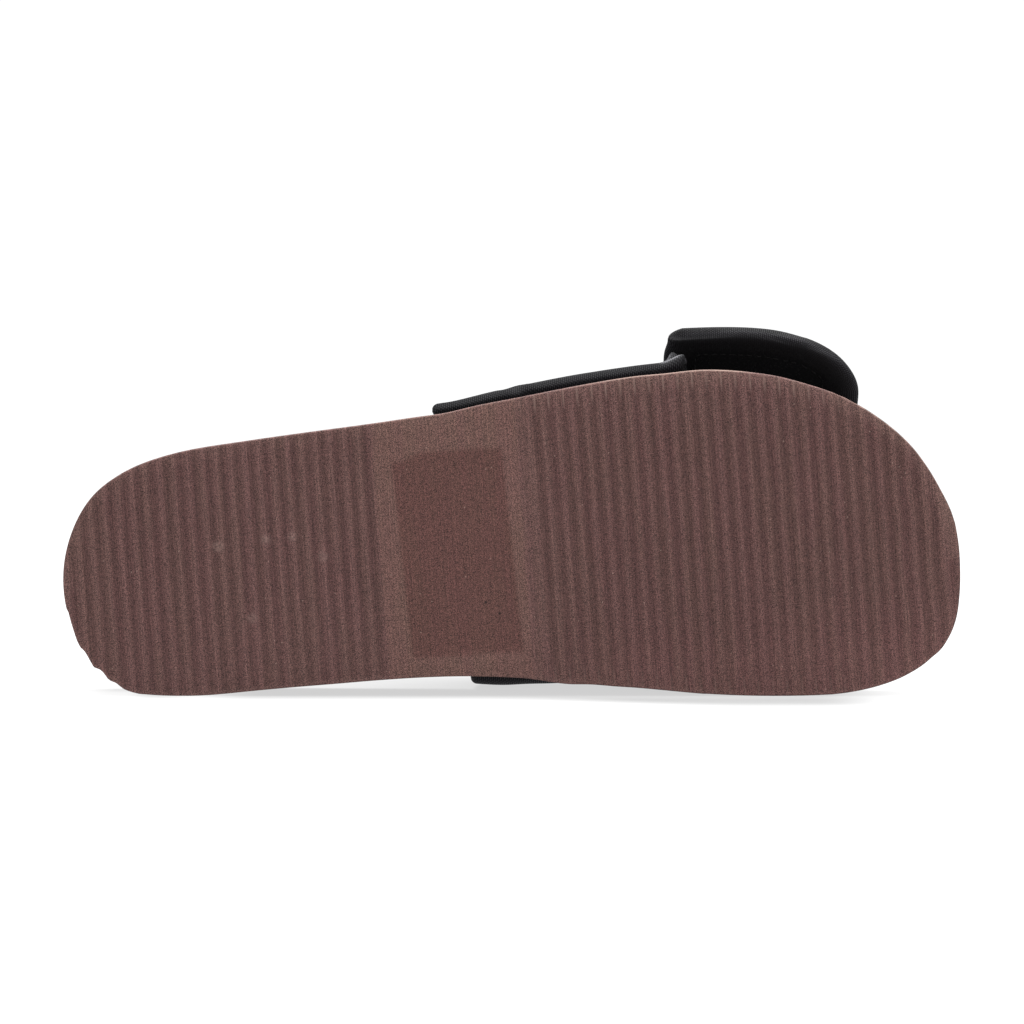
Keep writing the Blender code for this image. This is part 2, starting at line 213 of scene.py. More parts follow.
def ring_quads(rows, n, offset=0, closed=True):
    """Quads between rows of n points each."""
    i = np.arange(n if closed else n - 1)
    j = (i + 1) % n
    a = np.arange(rows - 1)[:, None] * n
    q = np.stack([a + i, a + j, a + n + j, a + n + i], -1)
    return q.reshape(-1, 4) + offset


# ------------------------------------------------------------------ outsole
RIB_DEPTH = 0.72
RIBS = (dict(first=3.24, pitch=4.150, last=3.24 + 21 * 4.150), dict(first=140.74, pitch=4.188, last=140.74 + 28 * 4.188))
PANEL_FROM, PANEL_TO = 92.4, 138.6


def rib_wave(x):
    """0 on a crest, 1 in a groove."""
    x = np.asarray(x, float)
    heel, fore = RIBS
    w = np.zeros_like(x)
    ph = (x - heel["first"]) / heel["pitch"]
    on = x < heel["last"] + heel["pitch"] / 2
    # the heel's ribs lean a little
    w = np.where(on, 0.5 + 0.5 * np.cos(2 * np.pi * (ph + 0.05 * np.cos(2 * np.pi * ph))), w)
    pf = (x - fore["first"]) / fore["pitch"]
    on = x > fore["first"] - fore["pitch"] / 2
    w = np.where(on, 0.5 + 0.5 * np.cos(2 * np.pi * pf), w)
    faint = (x <= fore["first"] - fore["pitch"] / 2) & (x > fore["first"] - 1.5 * fore["pitch"])
    w = np.where(faint, 0.4 * (0.5 + 0.5 * np.cos(2 * np.pi * pf)), w)
    # no two grooves are moulded quite alike
    k = np.floor(np.where(x < 115, ph, pf) + 0.5)
    vary = 1.0 + 0.03 * np.sin(k * 2.4 + 0.7) + 0.015 * np.sin(k * 5.1)
    return np.clip(w, 0, 1) ** 1.1 * vary


def rib_tick(x):
    """A fine line down the middle of each groove."""
    x = np.asarray(x, float)
    ph = np.where(x < 115, (x - RIBS[0]["first"]) / RIBS[0]["pitch"], (x - RIBS[1]["first"]) / RIBS[1]["pitch"])
    near = np.abs(ph - np.round(ph)) * 4.2
    return np.exp(-(near / 0.24) ** 2)


# inner edge of the tread round the heel: x, y
CORNER = np.array((
    (0.0, 0.0), (0.1, 1.2), (0.4, 2.5), (0.8, 4.9), (1.2, 7.35), (1.6, 9.4), (2.0, 11.2), (2.4, 12.85), (2.8, 14.45),
    (3.2, 15.8), (3.6, 16.45), (4.0, 16.75), (4.4, 17.2), (4.8, 17.7), (5.2, 18.4), (5.6, 19.2), (6.0, 20.2),
    (6.4, 21.0), (6.8, 21.9), (7.2, 22.5), (7.6, 22.7), (8.4, 23.05), (8.8, 23.25), (9.2, 23.6), (9.6, 24.0),
    (10.0, 24.6), (10.4, 25.25), (10.8, 25.95), (11.2, 26.35), (11.6, 26.7), (12.0, 26.9), (12.8, 27.25),
    (13.2, 27.5), (13.6, 27.8), (14.0, 28.25), (14.4, 28.6), (14.8, 28.95), (15.2, 29.3), (15.6, 29.55),
    (16.4, 29.95), (17.2, 30.3), (18.4, 30.75), (20.0, 31.28), (22.0, 31.8)))


# the toe's own unevenness: y, length put on
TOE_TRIM = np.array((
    (-30.0, -0.09), (-22.0, -0.07), (-16.0, -0.23), (-11.0, -0.35), (-6.0, -0.12), (-2.0, 0.08), (2.0, -0.07), (7.0, -0.18),
    (12.0, -0.27), (16.0, -0.19), (20.0, -0.04), (24.0, 0.17), (27.0, 0.24), (30.0, 0.11), (34.0, -0.20), (36.5, -0.12),
    (39.5, 0.18), (42.0, 0.16), (46.0, 0.0)))


def build_outsole():
    step = 0.40
    inner = np.concatenate([np.arange(1.5, 18.0, 0.25), np.arange(18.0, SOLE_LENGTH - 1.2, step)])
    ends = np.array([0.004, 0.02, 0.05, 0.1, 0.18, 0.3, 0.45, 0.65, 0.9, 1.2])
    xs = np.concatenate([ends, inner, SOLE_LENGTH - np.array([0.9, 0.65, 0.45, 0.3, 0.18, 0.1, 0.05, 0.02, 0.004])])
    yo = outer_edge(xs) - 0.2
    # the edge draws in a little under the ends of the straps
    yo = yo + 0.35 * bump(114.5, 6.0, xs) + 0.53 * bump(179.3, 8.0, xs) + 0.38 * bump(220.5, 7.5, xs)
    yi = inner_edge(xs) + 0.05 - 0.5 * bump(150.5, 6.0, xs)
    # it rests on two slightly rounded spots, heel and ball
    rest = ((xs - 32.0) ** 2 / 250.0 * (1 - ease(12.0, 20.0, np.abs(xs - 32.0)))
            + (xs - 204.0) ** 2 / 640.0 * (1 - ease(18.0, 32.0, np.abs(xs - 204.0))))
    yi = np.minimum(yi, floor_line(xs) - rest)
    zb, zt = tread(xs), seam(xs)

    # moulded scallops where the ribs run out round the inner corner of the heel
    corner = np.interp(xs + 0.06, CORNER[:, 0], CORNER[:, 1]) + 0.12
    blend = 1 - ease(17.5, 21.5, xs)
    flute = np.clip((yi - corner) * blend * ease(0.3, 1.0, xs), -0.8, 2.5)
    yi = yi - flute

    width = yi - yo
    k = np.minimum(1.0, width / 46.0)
    r = 0.55
    # a small round from (0, r) on the wall to (r, 0) on the tread
    near = np.array([0.85, 1.2, 1.6, 2.1, 2.7, 3.4, 4.2, 5.2, 6.4, 7.8])
    span = np.linspace(0.0, 1.0, 70)[1:-1]
    edge_d = np.concatenate([r * (1 - np.cos(np.radians([0, 22, 45, 68, 90]))), near])
    edge_z = np.concatenate([r * (1 - np.sin(np.radians([0, 22, 45, 68, 90]))), np.zeros(len(near))])

    def crown(d):
        return 0.38 * np.clip(1 - d / 4.6, 0, 1) ** 2

    cols_y, cols_z, cols_d, cols_side = [], [], [], []
    for d, z in zip(edge_d, edge_z):
        cols_y.append(yo + d * k)
        cols_z.append(zb + z * k)
        cols_d.append(np.full_like(xs, d) * k)
        cols_side.append(np.full_like(xs, -1.0))
    last = edge_d[-1]
    for s in span:
        y = (yo + last * k) * (1 - s) + (yi - last * k) * s
        cols_y.append(y)
        cols_z.append(zb)
        cols_d.append(np.minimum(y - yo, yi - y))
        cols_side.append(np.where(s < 0.5, -1.0, 1.0) * np.ones_like(xs))
    for d, z in zip(edge_d[::-1], edge_z[::-1]):
        cols_y.append(yi - d * k)
        cols_z.append(zb + z * k)
        cols_d.append(np.full_like(xs, d) * k)
        cols_side.append(np.full_like(xs, 1.0))
    Y, Z = np.stack(cols_y, 1), np.stack(cols_z, 1)
    Dist, Side = np.stack(cols_d, 1), np.stack(cols_side, 1)
    X = np.repeat(xs[:, None], Y.shape[1], 1)

    # distance from the ends counts as well, round the heel and toe
    toe = SOLE_LENGTH - (Y - TOE_NOSE_Y) ** 2 / (2 * TOE_NOSE_RADIUS) - X
    heel = X - (Y - HEEL_NOSE_Y) ** 2 / (2 * HEEL_NOSE_RADIUS)
    D = np.minimum(Dist, np.clip(np.minimum(toe, heel), 0, None))

    # the forefoot's ribs bend slightly near the outer edge
    bend = 0.05 + 0.03 * (1 - ease(100.0, 120.0, X)) + (0.12 * ease(14.0, 28.0, -Y) + 0.25 * ease(28.0, 42.0, -Y)) * ease(115.0, 135.0, X)
    wave = rib_wave(X + bend)
    fore_rim = ease(134.0, 140.0, X) * (1 - ease(214.0, 240.0, X))
    fade_outer = fore_rim * ease(0.4, 3.0, D) + (1 - fore_rim) * (0.35 + 0.65 * ease(0.1, 1.8, D))
    fade_inner = 0.45 + 0.55 * ease(0.1, 1.6, D)
    fade = np.where(Side < 0, fade_outer, fade_inner)
    # they grow shallower towards the inner side
    shallow = np.where(X < 115.0, 1.0 - 0.17 * ease(0.0, 28.0, Y), 0.95 - 0.09 * ease(0.0, 24.0, Y) - 0.2 * ease(26.0, 36.0, Y))
    relief = wave * fade * shallow
    # gentle unevenness of soft foam
    wobble = (0.05 * np.sin(X * 0.11 + Y * 0.07) + 0.04 * np.sin(X * 0.05 - Y * 0.13 + 1.0)) * ease(1.0, 6.0, D)
    # shallow pressed rectangle in the waist panel
    skew = 0.0336 * (Y + 2.0)
    in_x = ease(97.9, 99.5, X - skew) * (1 - ease(129.9, 131.5, X - skew))
    top_edge = -32.6 + 2.4 * (1 - ease(99.0, 107.0, X)) + 0.5 * ease(120.0, 131.0, X)
    in_y = ease(top_edge - 0.9, top_edge + 0.9, Y) * (1 - ease(26.3, 27.9, Y))
    rect = in_x * in_y
    Zt = Z + RIB_DEPTH * relief + crown(D) * (0.72 + 0.28 * ease(150.0, 175.0, X)) + wobble + 0.45 * rect
    panel = ease(PANEL_FROM - 0.5, PANEL_FROM + 0.5, X) * (1 - ease(PANEL_TO - 4.6, PANEL_TO - 3.6, X))

    # walls and top
    walls_y, walls_z = [], []
    for s in (0.02, 0.125, 0.25, 0.375, 0.5, 0.625, 0.75, 0.875):
        z = zb + r * k + (zt - 0.8 - zb - r * k) * s
        lean = 0.35 * s ** 2
        walls_y.append((yi + flute * ease(0.35, 0.75, s) - lean, yo + lean))
        walls_z.append(z)
    top = [(0.0, 0.8), (0.24, 0.24), (0.8, 0.0), (4.0, 0.0)]
    in_side = [np.stack([w[0] for w in walls_y], 1), np.stack(walls_z, 1)]
    out_side = [np.stack([w[1] for w in walls_y], 1), np.stack(walls_z, 1)]
    tin_y = np.stack([yi + flute - 0.35 - d * k for d, _ in top], 1)
    tin_z = np.stack([zt - h * k for _, h in top], 1)
    tout_y = np.stack([yo + 0.35 + d * k for d, _ in top], 1)
    tout_z = np.stack([zt - h * k for _, h in top], 1)
    RY = np.concatenate([Y, in_side[0], tin_y, tout_y[:, ::-1], out_side[0][:, ::-1]], 1)
    RZ = np.concatenate([Zt, in_side[1], tin_z, tout_z[:, ::-1], out_side[1][:, ::-1]], 1)
    n = RY.shape[1]
    RX = np.repeat(xs[:, None], n, 1)
    RX = (RX + 0.75 * ease(251.0, 261.0, RX) - 0.22 * (1 - ease(0.0, 60.0, RX))
          + 0.12 * ease(212.0, 238.0, RX) * (1 - ease(244.0, 256.0, RX)) * ease(5.0, 25.0, RY)
          + ease(236.0, 246.0, RX) * smooth(TOE_TRIM[:, 0], TOE_TRIM[:, 1], RY))
    verts = to_world(np.stack([RX, RY, RZ], -1)).reshape(-1, 3)
    rows = len(xs)
    quads = ring_quads(rows, n)
    # ends are closed by a fan of quads through the ring
    tris = []
    for base, flip in ((0, False), ((rows - 1) * n, True)):
        for i in range(1, n - 1):
            t = (base, base + i + 1, base + i)
            tris.append(t[::-1] if flip else t)
    extra = n - Y.shape[1]

    def full(a, fill=0.0):
        return np.concatenate([a, np.full((rows, extra), fill)], 1).ravel()

    # painted light: the tread is coloured lighter near its edges, most along the outer edge of the ball and toe
    rim = np.where(Side < 0, (1 - ease(0.3, 5.5, D)) * (0.55 - 0.25 * bump(130.0, 14.0, X) + 0.45 * ease(150.0, 190.0, X) + 0.6 * ease(222.0, 238.0, X)), 0.45 * (1 - ease(0.2, 2.2, D)))
    # a painted highlight runs along the outer edge as a fine pale line, palest along the ball
    painted_edge_highlight = (Side < 0) * (1 - ease(0.18, 0.5, D)) * ease(128.0, 165.0, X)
    painted_edge_highlight = painted_edge_highlight * (0.85 * ease(140.0, 176.0, X) * (1 - ease(199.0, 206.0, X)) + 0.25 * bump(195.0, 3.5, X)
                   + 0.55 * ease(226.0, 236.0, X) * (1 - ease(252.0, 260.0, X)))
    tick = rib_tick(X + bend) * fore_rim * ease(0.2, 0.6, D) * (1 - ease(3.0, 6.5, D))
    tick = tick * np.where(Side < 0, 1.0, 0.4)
    attributes = dict(relief=full(relief), rim=full(rim), painted_edge_highlight=full(painted_edge_highlight), rect=full(rect), panel=full(panel), tick=full(tick),
                      tread=full(np.ones_like(Y)),
                      along=np.repeat(xs[:, None], n, 1).ravel(), across=RY.ravel())
    return make_mesh("outsole_foam", verts, quads, tris, attributes=attributes, smooth_angle=60)


# ------------------------------------------------------------------ insole
def insole_top(x, y):
    yo, yi = outer_edge(x) + 0.5, inner_edge(x) - 0.5
    toe = SOLE_LENGTH - (y - TOE_NOSE_Y) ** 2 / (2 * TOE_NOSE_RADIUS)
    heel = (y - HEEL_NOSE_Y) ** 2 / (2 * HEEL_NOSE_RADIUS)
    near = np.clip(np.minimum(np.minimum(y - yo, yi - y), np.minimum(toe - x, x - heel)), 0, None)
    z = INSOLE_THICK + HEEL_CUP * (1 - ease(0.0, HEEL_CUP_BAND, near)) * (1 - ease(HEEL_CUP_TO - 45.0, HEEL_CUP_TO, x))
    z = z + ARCH_RISE * np.exp(-((x - ARCH_X) / ARCH_LENGTH) ** 2) * (1 - ease(0.0, 34.0, yi - y))
    z = z + TOE_LIP * (1 - ease(0.0, TOE_LIP_BAND, near)) * ease(TOE_LIP_FROM - 30.0, TOE_LIP_FROM, x)
    return z, near


def nub_height(x, y, near):
    """Rounded massage nubs in staggered rows; larger ones under heel and ball."""
    h = np.zeros_like(x)
    shade = np.zeros_like(x)
    fields = (
        dict(pitch=7.6, radius=2.9, height=1.9, lo=8.0, hi=78.0),
        dict(pitch=5.6, radius=1.9, height=1.3, lo=80.0, hi=146.0),
        dict(pitch=7.6, radius=2.9, height=1.9, lo=149.0, hi=214.0),
        dict(pitch=5.6, radius=1.9, height=1.3, lo=216.0, hi=252.0),
    )
    for f in fields:
        row = f["pitch"] * math.sqrt(3) / 2
        j = np.round((x - f["lo"]) / row)
        best = np.full_like(x, 1e9)
        cx_best = np.zeros_like(x)
        cy_best = np.zeros_like(x)
        for dj in (-1, 0, 1):
            jj = j + dj
            cx = f["lo"] + jj * row
            odd = np.mod(jj, 2) * 0.5
            i = np.round((y - 3.0) / f["pitch"] - odd)
            cy = 3.0 + (i + odd) * f["pitch"]
            d = np.hypot(x - cx, y - cy)
            d = np.where((cx < f["lo"] - 0.1) | (cx > f["hi"]), 1e9, d)
            closer = d < best
            best = np.where(closer, d, best)
            cx_best = np.where(closer, cx, cx_best)
            cy_best = np.where(closer, cy, cy_best)
        # whole nubs only, clear of the rim
        _, room = insole_top(cx_best, cy_best)
        keep = room > f["radius"] + 4.5
        u = np.clip(best / f["radius"], 0, 1)
        dome = (1 - u ** 2.2) ** 0.8 * keep
        dome = np.where(best < f["radius"], dome, 0.0)
        h = np.maximum(h, f["height"] * dome)
        shade = np.maximum(shade, dome)
    return h, shade


def build_insole():
    ends = np.array([0.01, 0.04, 0.1, 0.2, 0.35, 0.6, 0.9])
    body = np.arange(1.3, SOLE_LENGTH - 2.3, 0.74)
    lo, hi = 0.55, SOLE_LENGTH - 0.55
    xs = np.concatenate([lo + ends, lo + body, hi - ends[::-1]])
    xs = np.unique(np.clip(xs, lo, hi))
    # outline inset from the outsole, let in where the straps pass
    def shrink(x):
        return SOLE_LENGTH * (x - lo) / (hi - lo)
    strap_in = ease(112.6, 114.2, xs) * (1 - ease(213.2, 214.8, xs))
    strap_out = ease(108.0, 109.6, xs) * (1 - ease(187.0, 188.6, xs))
    yo = outer_edge(shrink(xs)) + 0.55 + 0.55 * strap_out
    free = inner_edge(shrink(xs)) - 0.55
    yi = free + (np.minimum(free, reach_inner(xs) - WALL - 1.0) - free) * strap_in
    width = yi - yo
    k = np.minimum(1.0, width / 30.0)
    zs = seam(xs)
    zb = zs + 0.12
    m = 118
    s = np.linspace(0, 1, m)
    r = 1.5
    Y = (yo + r * k)[:, None] * (1 - s) + (yi - r * k)[:, None] * s
    X = np.repeat(xs[:, None], m, 1)
    base, near = insole_top(X, Y)
    h, shade = nub_height(X, Y, near)
    # a shallow line runs round inside the rim
    line = -0.35 * np.exp(-((near - 6.2) / 0.55) ** 2)
    Zt = zs[:, None] + base + h + line
    # rounded shoulder between the top and the wall
    left_y = np.stack([yo + r * k * (1 - math.sin(math.radians(a))) for a in (22.5, 45, 67.5, 90)], 1)
    left_z = np.stack([Zt[:, 0] - r * k * (1 - math.cos(math.radians(a))) for a in (22.5, 45, 67.5, 90)], 1)
    right_y = np.stack([yi - r * k * (1 - math.sin(math.radians(a))) for a in (22.5, 45, 67.5, 90)], 1)
    right_z = np.stack([Zt[:, -1] - r * k * (1 - math.cos(math.radians(a))) for a in (22.5, 45, 67.5, 90)], 1)
    wl_z = np.stack([left_z[:, -1] * (1 - t) + (zb + 0.4) * t for t in (0.33, 0.66, 1.0)], 1)
    wr_z = np.stack([right_z[:, -1] * (1 - t) + (zb + 0.4) * t for t in (0.33, 0.66, 1.0)], 1)
    wl_y, wr_y = np.repeat(yo[:, None], 3, 1), np.repeat(yi[:, None], 3, 1)
    bl = np.stack([yo + 0.4 * k], 1)
    br = np.stack([yi - 0.4 * k], 1)
    bz = zb[:, None]
    RY = np.concatenate([Y, right_y, wr_y, br, bl, wl_y[:, ::-1], left_y[:, ::-1]], 1)
    RZ = np.concatenate([Zt, right_z, wr_z, bz, bz, wl_z[:, ::-1], left_z[:, ::-1]], 1)
    n = RY.shape[1]
    rows = len(xs)
    RX = np.repeat(xs[:, None], n, 1)
    verts = to_world(np.stack([RX, RY, RZ], -1)).reshape(-1, 3)
    quads = ring_quads(rows, n)[:, ::-1]
    tris = []
    for base_i, flip in ((0, True), ((rows - 1) * n, False)):
        for i in range(1, n - 1):
            t = (base_i, base_i + i + 1, base_i + i)
            tris.append(t[::-1] if flip else t)
    extra = n - m

    def full(a, fill=0.0):
        return np.concatenate([a, np.full((rows, extra), fill)], 1).ravel()

    return make_mesh("insole_bed", verts, quads, tris,
                     attributes=dict(nub=full(shade), rimline=full(np.exp(-((near - 6.2) / 0.7) ** 2))), smooth_angle=70)


# ------------------------------------------------------------------ straps
def spline(u, pts, uu):
    """Natural cubic through rows pts at u, read at uu."""
    u, pts = np.asarray(u, float), np.asarray(pts, float)
    n = len(u)
    flat = pts.reshape(n, -1)
    h = np.diff(u)
    A = np.zeros((n, n))
    B = np.zeros_like(flat)
    A[0, 0] = A[-1, -1] = 1.0
    for i in range(1, n - 1):
        A[i, i - 1], A[i, i], A[i, i + 1] = h[i - 1], 2 * (h[i - 1] + h[i]), h[i]
        B[i] = 6 * ((flat[i + 1] - flat[i]) / h[i] - (flat[i] - flat[i - 1]) / h[i - 1])
    M = np.linalg.solve(A, B)
    k = np.clip(np.searchsorted(u, uu, side="right") - 1, 0, n - 2)
    hk = h[k][:, None]
    a, b = (u[k + 1] - uu)[:, None], (uu - u[k])[:, None]
    out = (M[k] * a ** 3 + M[k + 1] * b ** 3) / (6 * hk) + (flat[k] / hk - M[k] * hk / 6) * a + (flat[k + 1] / hk - M[k + 1] * hk / 6) * b
    return out.reshape((len(uu),) + pts.shape[1:])


def spread(n, edge):
    """n shares from 0 to 1, closer together at both ends."""
    t = np.linspace(0, 1, n)
    return (1 - edge) * t + edge * (0.5 - 0.5 * np.cos(np.pi * t))


MID = -2.0        # middle of the strap below its face


def base_rows(side, rear, front, w, rise, front_shy=1.0):
    """The strap rounds out of the seam and stands upright."""
    rows = []
    tuck = 3.4
    for a in (0.0, 22.0, 45.0, 68.0, 90.0):
        rad = math.radians(a)
        shy = 1.6 * (1 - math.sin(rad))
        ahead = front_shy * (1.6 - 0.9 * math.sin(rad))
        xs = (rear + shy) + (front - rear - shy - ahead) * w
        edge = reach_outer(xs) if side < 0 else reach_inner(xs)
        y = edge - side * (-MID + tuck * (1 - math.sin(rad)))
        z = seam(xs) + 0.9 + tuck * (1 - math.cos(rad))
        rows.append(np.stack([xs, y, z], -1))
    z0 = 0.9 + tuck
    for t in (0.35, 0.7):
        xs = rear + (front - rear - 0.7 * front_shy * (1 - t)) * w
        edge = reach_outer(xs) if side < 0 else reach_inner(xs)
        rows.append(np.stack([xs, edge + side * MID, seam(xs) + z0 + (rise - z0) * t], -1))
    return rows


def strap_grid(keys, rows):
    """Fine grid through key rows: points, distance along the strap."""
    keys = np.stack(keys)
    mid = keys[:, keys.shape[1] // 2]
    u = np.concatenate([[0.0], np.cumsum(np.linalg.norm(np.diff(mid, axis=0), axis=1))])
    uu = rows * u[-1]
    return spline(u, keys, uu), uu


def normals_of(G):
    n = np.cross(np.gradient(G, axis=0), np.gradient(G, axis=1))
    return n / np.maximum(np.linalg.norm(n, axis=2, keepdims=True), 1e-9)


def free_edge(G, uu):
    """The strap's free edge in its own flat sizes: up the rear side, across the end, down the front side."""
    V = G[..., 0]
    U = np.repeat(uu[:, None], G.shape[1], 1)
    flat = np.stack([U, V], -1)
    return np.concatenate([flat[:, 0], flat[-1, 1:-1], flat[::-1, -1]]), flat


def edge_distance(G, uu):
    """Distance of each grid point from the free edge, on the strap's surface, and the way to it."""
    line, flat = free_edge(G, uu)
    D = np.full(flat.shape[:2], 1e9)
    way = np.zeros_like(flat)
    for a, b in zip(line[:-1], line[1:]):
        ab = b - a
        t = np.clip(((flat - a) @ ab) / max(ab @ ab, 1e-12), 0, 1)
        q = a + t[..., None] * ab
        d = np.hypot(flat[..., 0] - q[..., 0], flat[..., 1] - q[..., 1])
        way = np.where((d < D)[..., None], q - flat, way)
        D = np.minimum(D, d)
    way = way / np.maximum(D, 1e-6)[..., None]
    way[-1], way[:, 0], way[:, -1] = way[-2], way[:, 1], way[:, -2]
    return D, flat[..., 0], way


def pad(name, G, uu, outward, radius, puff, under, tab_from=None, dents=None, painted_light=None, shift=None):
    """A padded strap round its middle surface G, with rolled edges. Past tab_from the back is a
    recessed field with a hook pad inside the rolled rim."""
    D, U, way = edge_distance(G, uu)
    N = normals_of(G) * outward
    R = np.broadcast_to(np.asarray(radius, float), D.shape)
    roll = np.sqrt(np.clip(R ** 2 - (R - np.minimum(D, R)) ** 2, 0, None))
    seamline = np.exp(-((D - 5.6) / 0.8) ** 2) * ease(8.0, 18.0, U)
    out = roll - 0.55 * seamline + puff * ease(6.0, 17.0, D) * ease(4.0, 26.0, U)
    back = under * roll
    hook = np.zeros_like(D)
    if tab_from is not None:
        on_tab = ease(tab_from - 12.0, tab_from + 6.0, U)
        wide = 2.7 * np.sqrt(np.clip(1 - (1 - np.minimum(D / 5.5, 1)) ** 2, 0, None))
        back = back + on_tab * (wide - under * roll - 1.3 * ease(4.0, 12.0, D))
        hook = ease(8.4, 8.9, D) * ease(tab_from + 1.0, tab_from + 1.6, U)
        back = back + 0.55 * hook
    if dents is not None:
        out = out + dents
    A, B = G + N * out[..., None], G - N * back[..., None]
    for S in (A, B):
        S[..., 1] += 0.0 if shift is None else shift
        S[..., 1] = np.minimum(S[..., 1], floor_line(S[..., 0]) - 0.02)
        S[..., 2] = np.maximum(S[..., 2], seam(S[..., 0]) + 0.1)
    rows, cols = D.shape
    off = rows * cols
    verts = np.concatenate([A.reshape(-1, 3), B.reshape(-1, 3)])
    remap = np.arange(2 * off)
    grid = np.arange(off).reshape(rows, cols)
    # both faces meet along the free edge
    for rim in (grid[:, 0], grid[:, -1], grid[-1]):
        remap[off + rim] = rim
    # the base is closed across, with a triangle at either end
    i = np.arange(1, cols - 2)
    quads = np.concatenate([ring_quads(rows, cols, 0, closed=False),
                            remap[ring_quads(rows, cols, off, closed=False)[:, ::-1]],
                            np.stack([i + 1, i, off + i, off + i + 1], -1)])
    tris = [(1, 0, off + 1), (cols - 1, cols - 2, off + cols - 2)]
    # at the free corners both faces are split from the corner inwards, so that they share no diagonal
    at = np.isin(quads, (grid[-1, 0], grid[-1, -1]))
    for quad, hit in zip(quads[at.any(1)], at[at.any(1)]):
        a, b, c, d = np.roll(quad, -int(np.argmax(hit)))
        tris += [(a, b, c), (a, c, d)]
    quads, tris = quads[~at.any(1)], np.array(tris)
    used = np.unique(np.concatenate([quads.ravel(), tris.ravel()]))
    new = np.full(len(verts), -1)
    new[used] = np.arange(len(used))
    # the cloth keeps its true length round the rolled edge
    flat = np.stack([U, G[..., 0]], -1)
    turn = np.arcsin(np.clip(1 - D / R, 0, 1))
    past = (D + R * (math.pi / 2 - 1) + np.hypot(D, back)) * (1 - ease(6.0, 11.0, D))
    uv = np.concatenate([(flat + way * (R * (turn - np.sin(turn)))[..., None]).reshape(-1, 2),
                         (flat + way * past[..., None]).reshape(-1, 2)])
    attributes = dict(inside=np.repeat([0.0, 1.0], off)[used], edge=np.tile(D.ravel(), 2)[used],
                      hook=np.concatenate([np.zeros(off), hook.ravel()])[used],
                      painted_light=np.concatenate([np.zeros(off) if painted_light is None else painted_light.ravel(), np.zeros(off)])[used])
    obj = make_mesh(name, to_world(verts[used]), new[quads], new[tris], uv=uv[used] * 0.01, attributes=attributes)
    return obj, dict(G=G, N=N, D=D, uu=uu, A=A, B=B)


def edges_of(table, turn):
    return smooth(table[:, 0], table[:, 1], turn), smooth(table[:, 0], table[:, 2], turn)


def build_outer_strap():
    w = spread(78, 0.75)
    rear, front = edges_of(OUTER_STRAP, 0.0)
    keys = base_rows(-1, rear - 0.5, front + 0.6, w, WALL_RISE, 1.7)
    for turn in np.linspace(2.0, 112.0, 19):
        a, b = edges_of(OUTER_STRAP, turn)
        keys.append(arch(a + (b - a) * w, turn, MID))
    rows = np.concatenate([np.linspace(0, 0.22, 40)[:-1], np.linspace(0.22, 0.97, 68)[:-1], np.linspace(0.97, 1.0, 10)])
    G, uu = strap_grid(keys, rows)
    X = G[..., 0]
    U = np.repeat(uu[:, None], G.shape[1], 1)
    # the front edge flares out in a roll where it rises behind the tab, with a second fold behind the roll
    brim = 1 - np.sqrt(1 - (1 - np.minimum((X[:, -1:] - X) / 2.0, 1)) ** 2)
    shift = -(1.1 * ease(177.7, 186.6, X) * ease(0.5, 5.0, U) + 1.2 * brim * ease(2.0, 4.8, U)) * (1 - ease(14.0, 32.0, U))
    fold = (1.3 * ease(178.1, 186.6, X) * bump(5.2, 2.2, U) - 1.6 * ease(178.8, 182.2, X) * bump(10.0, 2.2, U)
            + 2.3 * bump(182.2, 1.8, X) * bump(15.8, 3.0, U))
    # painted light on the roll: a painted sheen highlight along its top and on the fold behind it, painted shade in the
    # hollow between them and along the roll's foot
    foot = 182.2 + 0.85 * U
    painted_light = (0.9 * ease(177.4, 180.0, X) * (1 - ease(183.0, 185.4, X)) * bump(5.0, 0.9, U)
            + 0.5 * bump(181.2, 1.4, X) * bump(13.4, 1.4, U)
            - 0.5 * ease(178.4, 180.4, X) * (1 - ease(184.0, 186.0, X)) * bump(9.6, 1.6, U)
            - 0.85 * ease(foot - 1.4, foot + 0.8, X) * (1 - ease(4.2, 6.0, U)))
    # a small fold across the strap where it leaves the sole, and two slack ones above it
    lean = X + 0.30 * U
    dents = (0.32 * bump(140.2, 1.9, lean) - 0.55 * bump(136.9, 1.5, lean)) * ease(1.0, 4.0, U) * (1 - ease(9.0, 20.0, U))
    dents = dents + 0.35 * bump(150.0, 3.0, X - 0.15 * U) * ease(14.0, 26.0, U) * (1 - ease(34.0, 50.0, U))
    dents = dents - 0.30 * bump(157.0, 2.4, X - 0.15 * U) * ease(12.0, 24.0, U) * (1 - ease(34.0, 52.0, U))
    dents = dents + fold
    return pad("strap_outer", G, uu, -1.0, 2.0, 0.5, 0.85, dents=dents, painted_light=painted_light, shift=shift)


def over_mid(turn):
    return MID + (1.9 - MID) * (1 - ease(112.0, 142.0, turn))


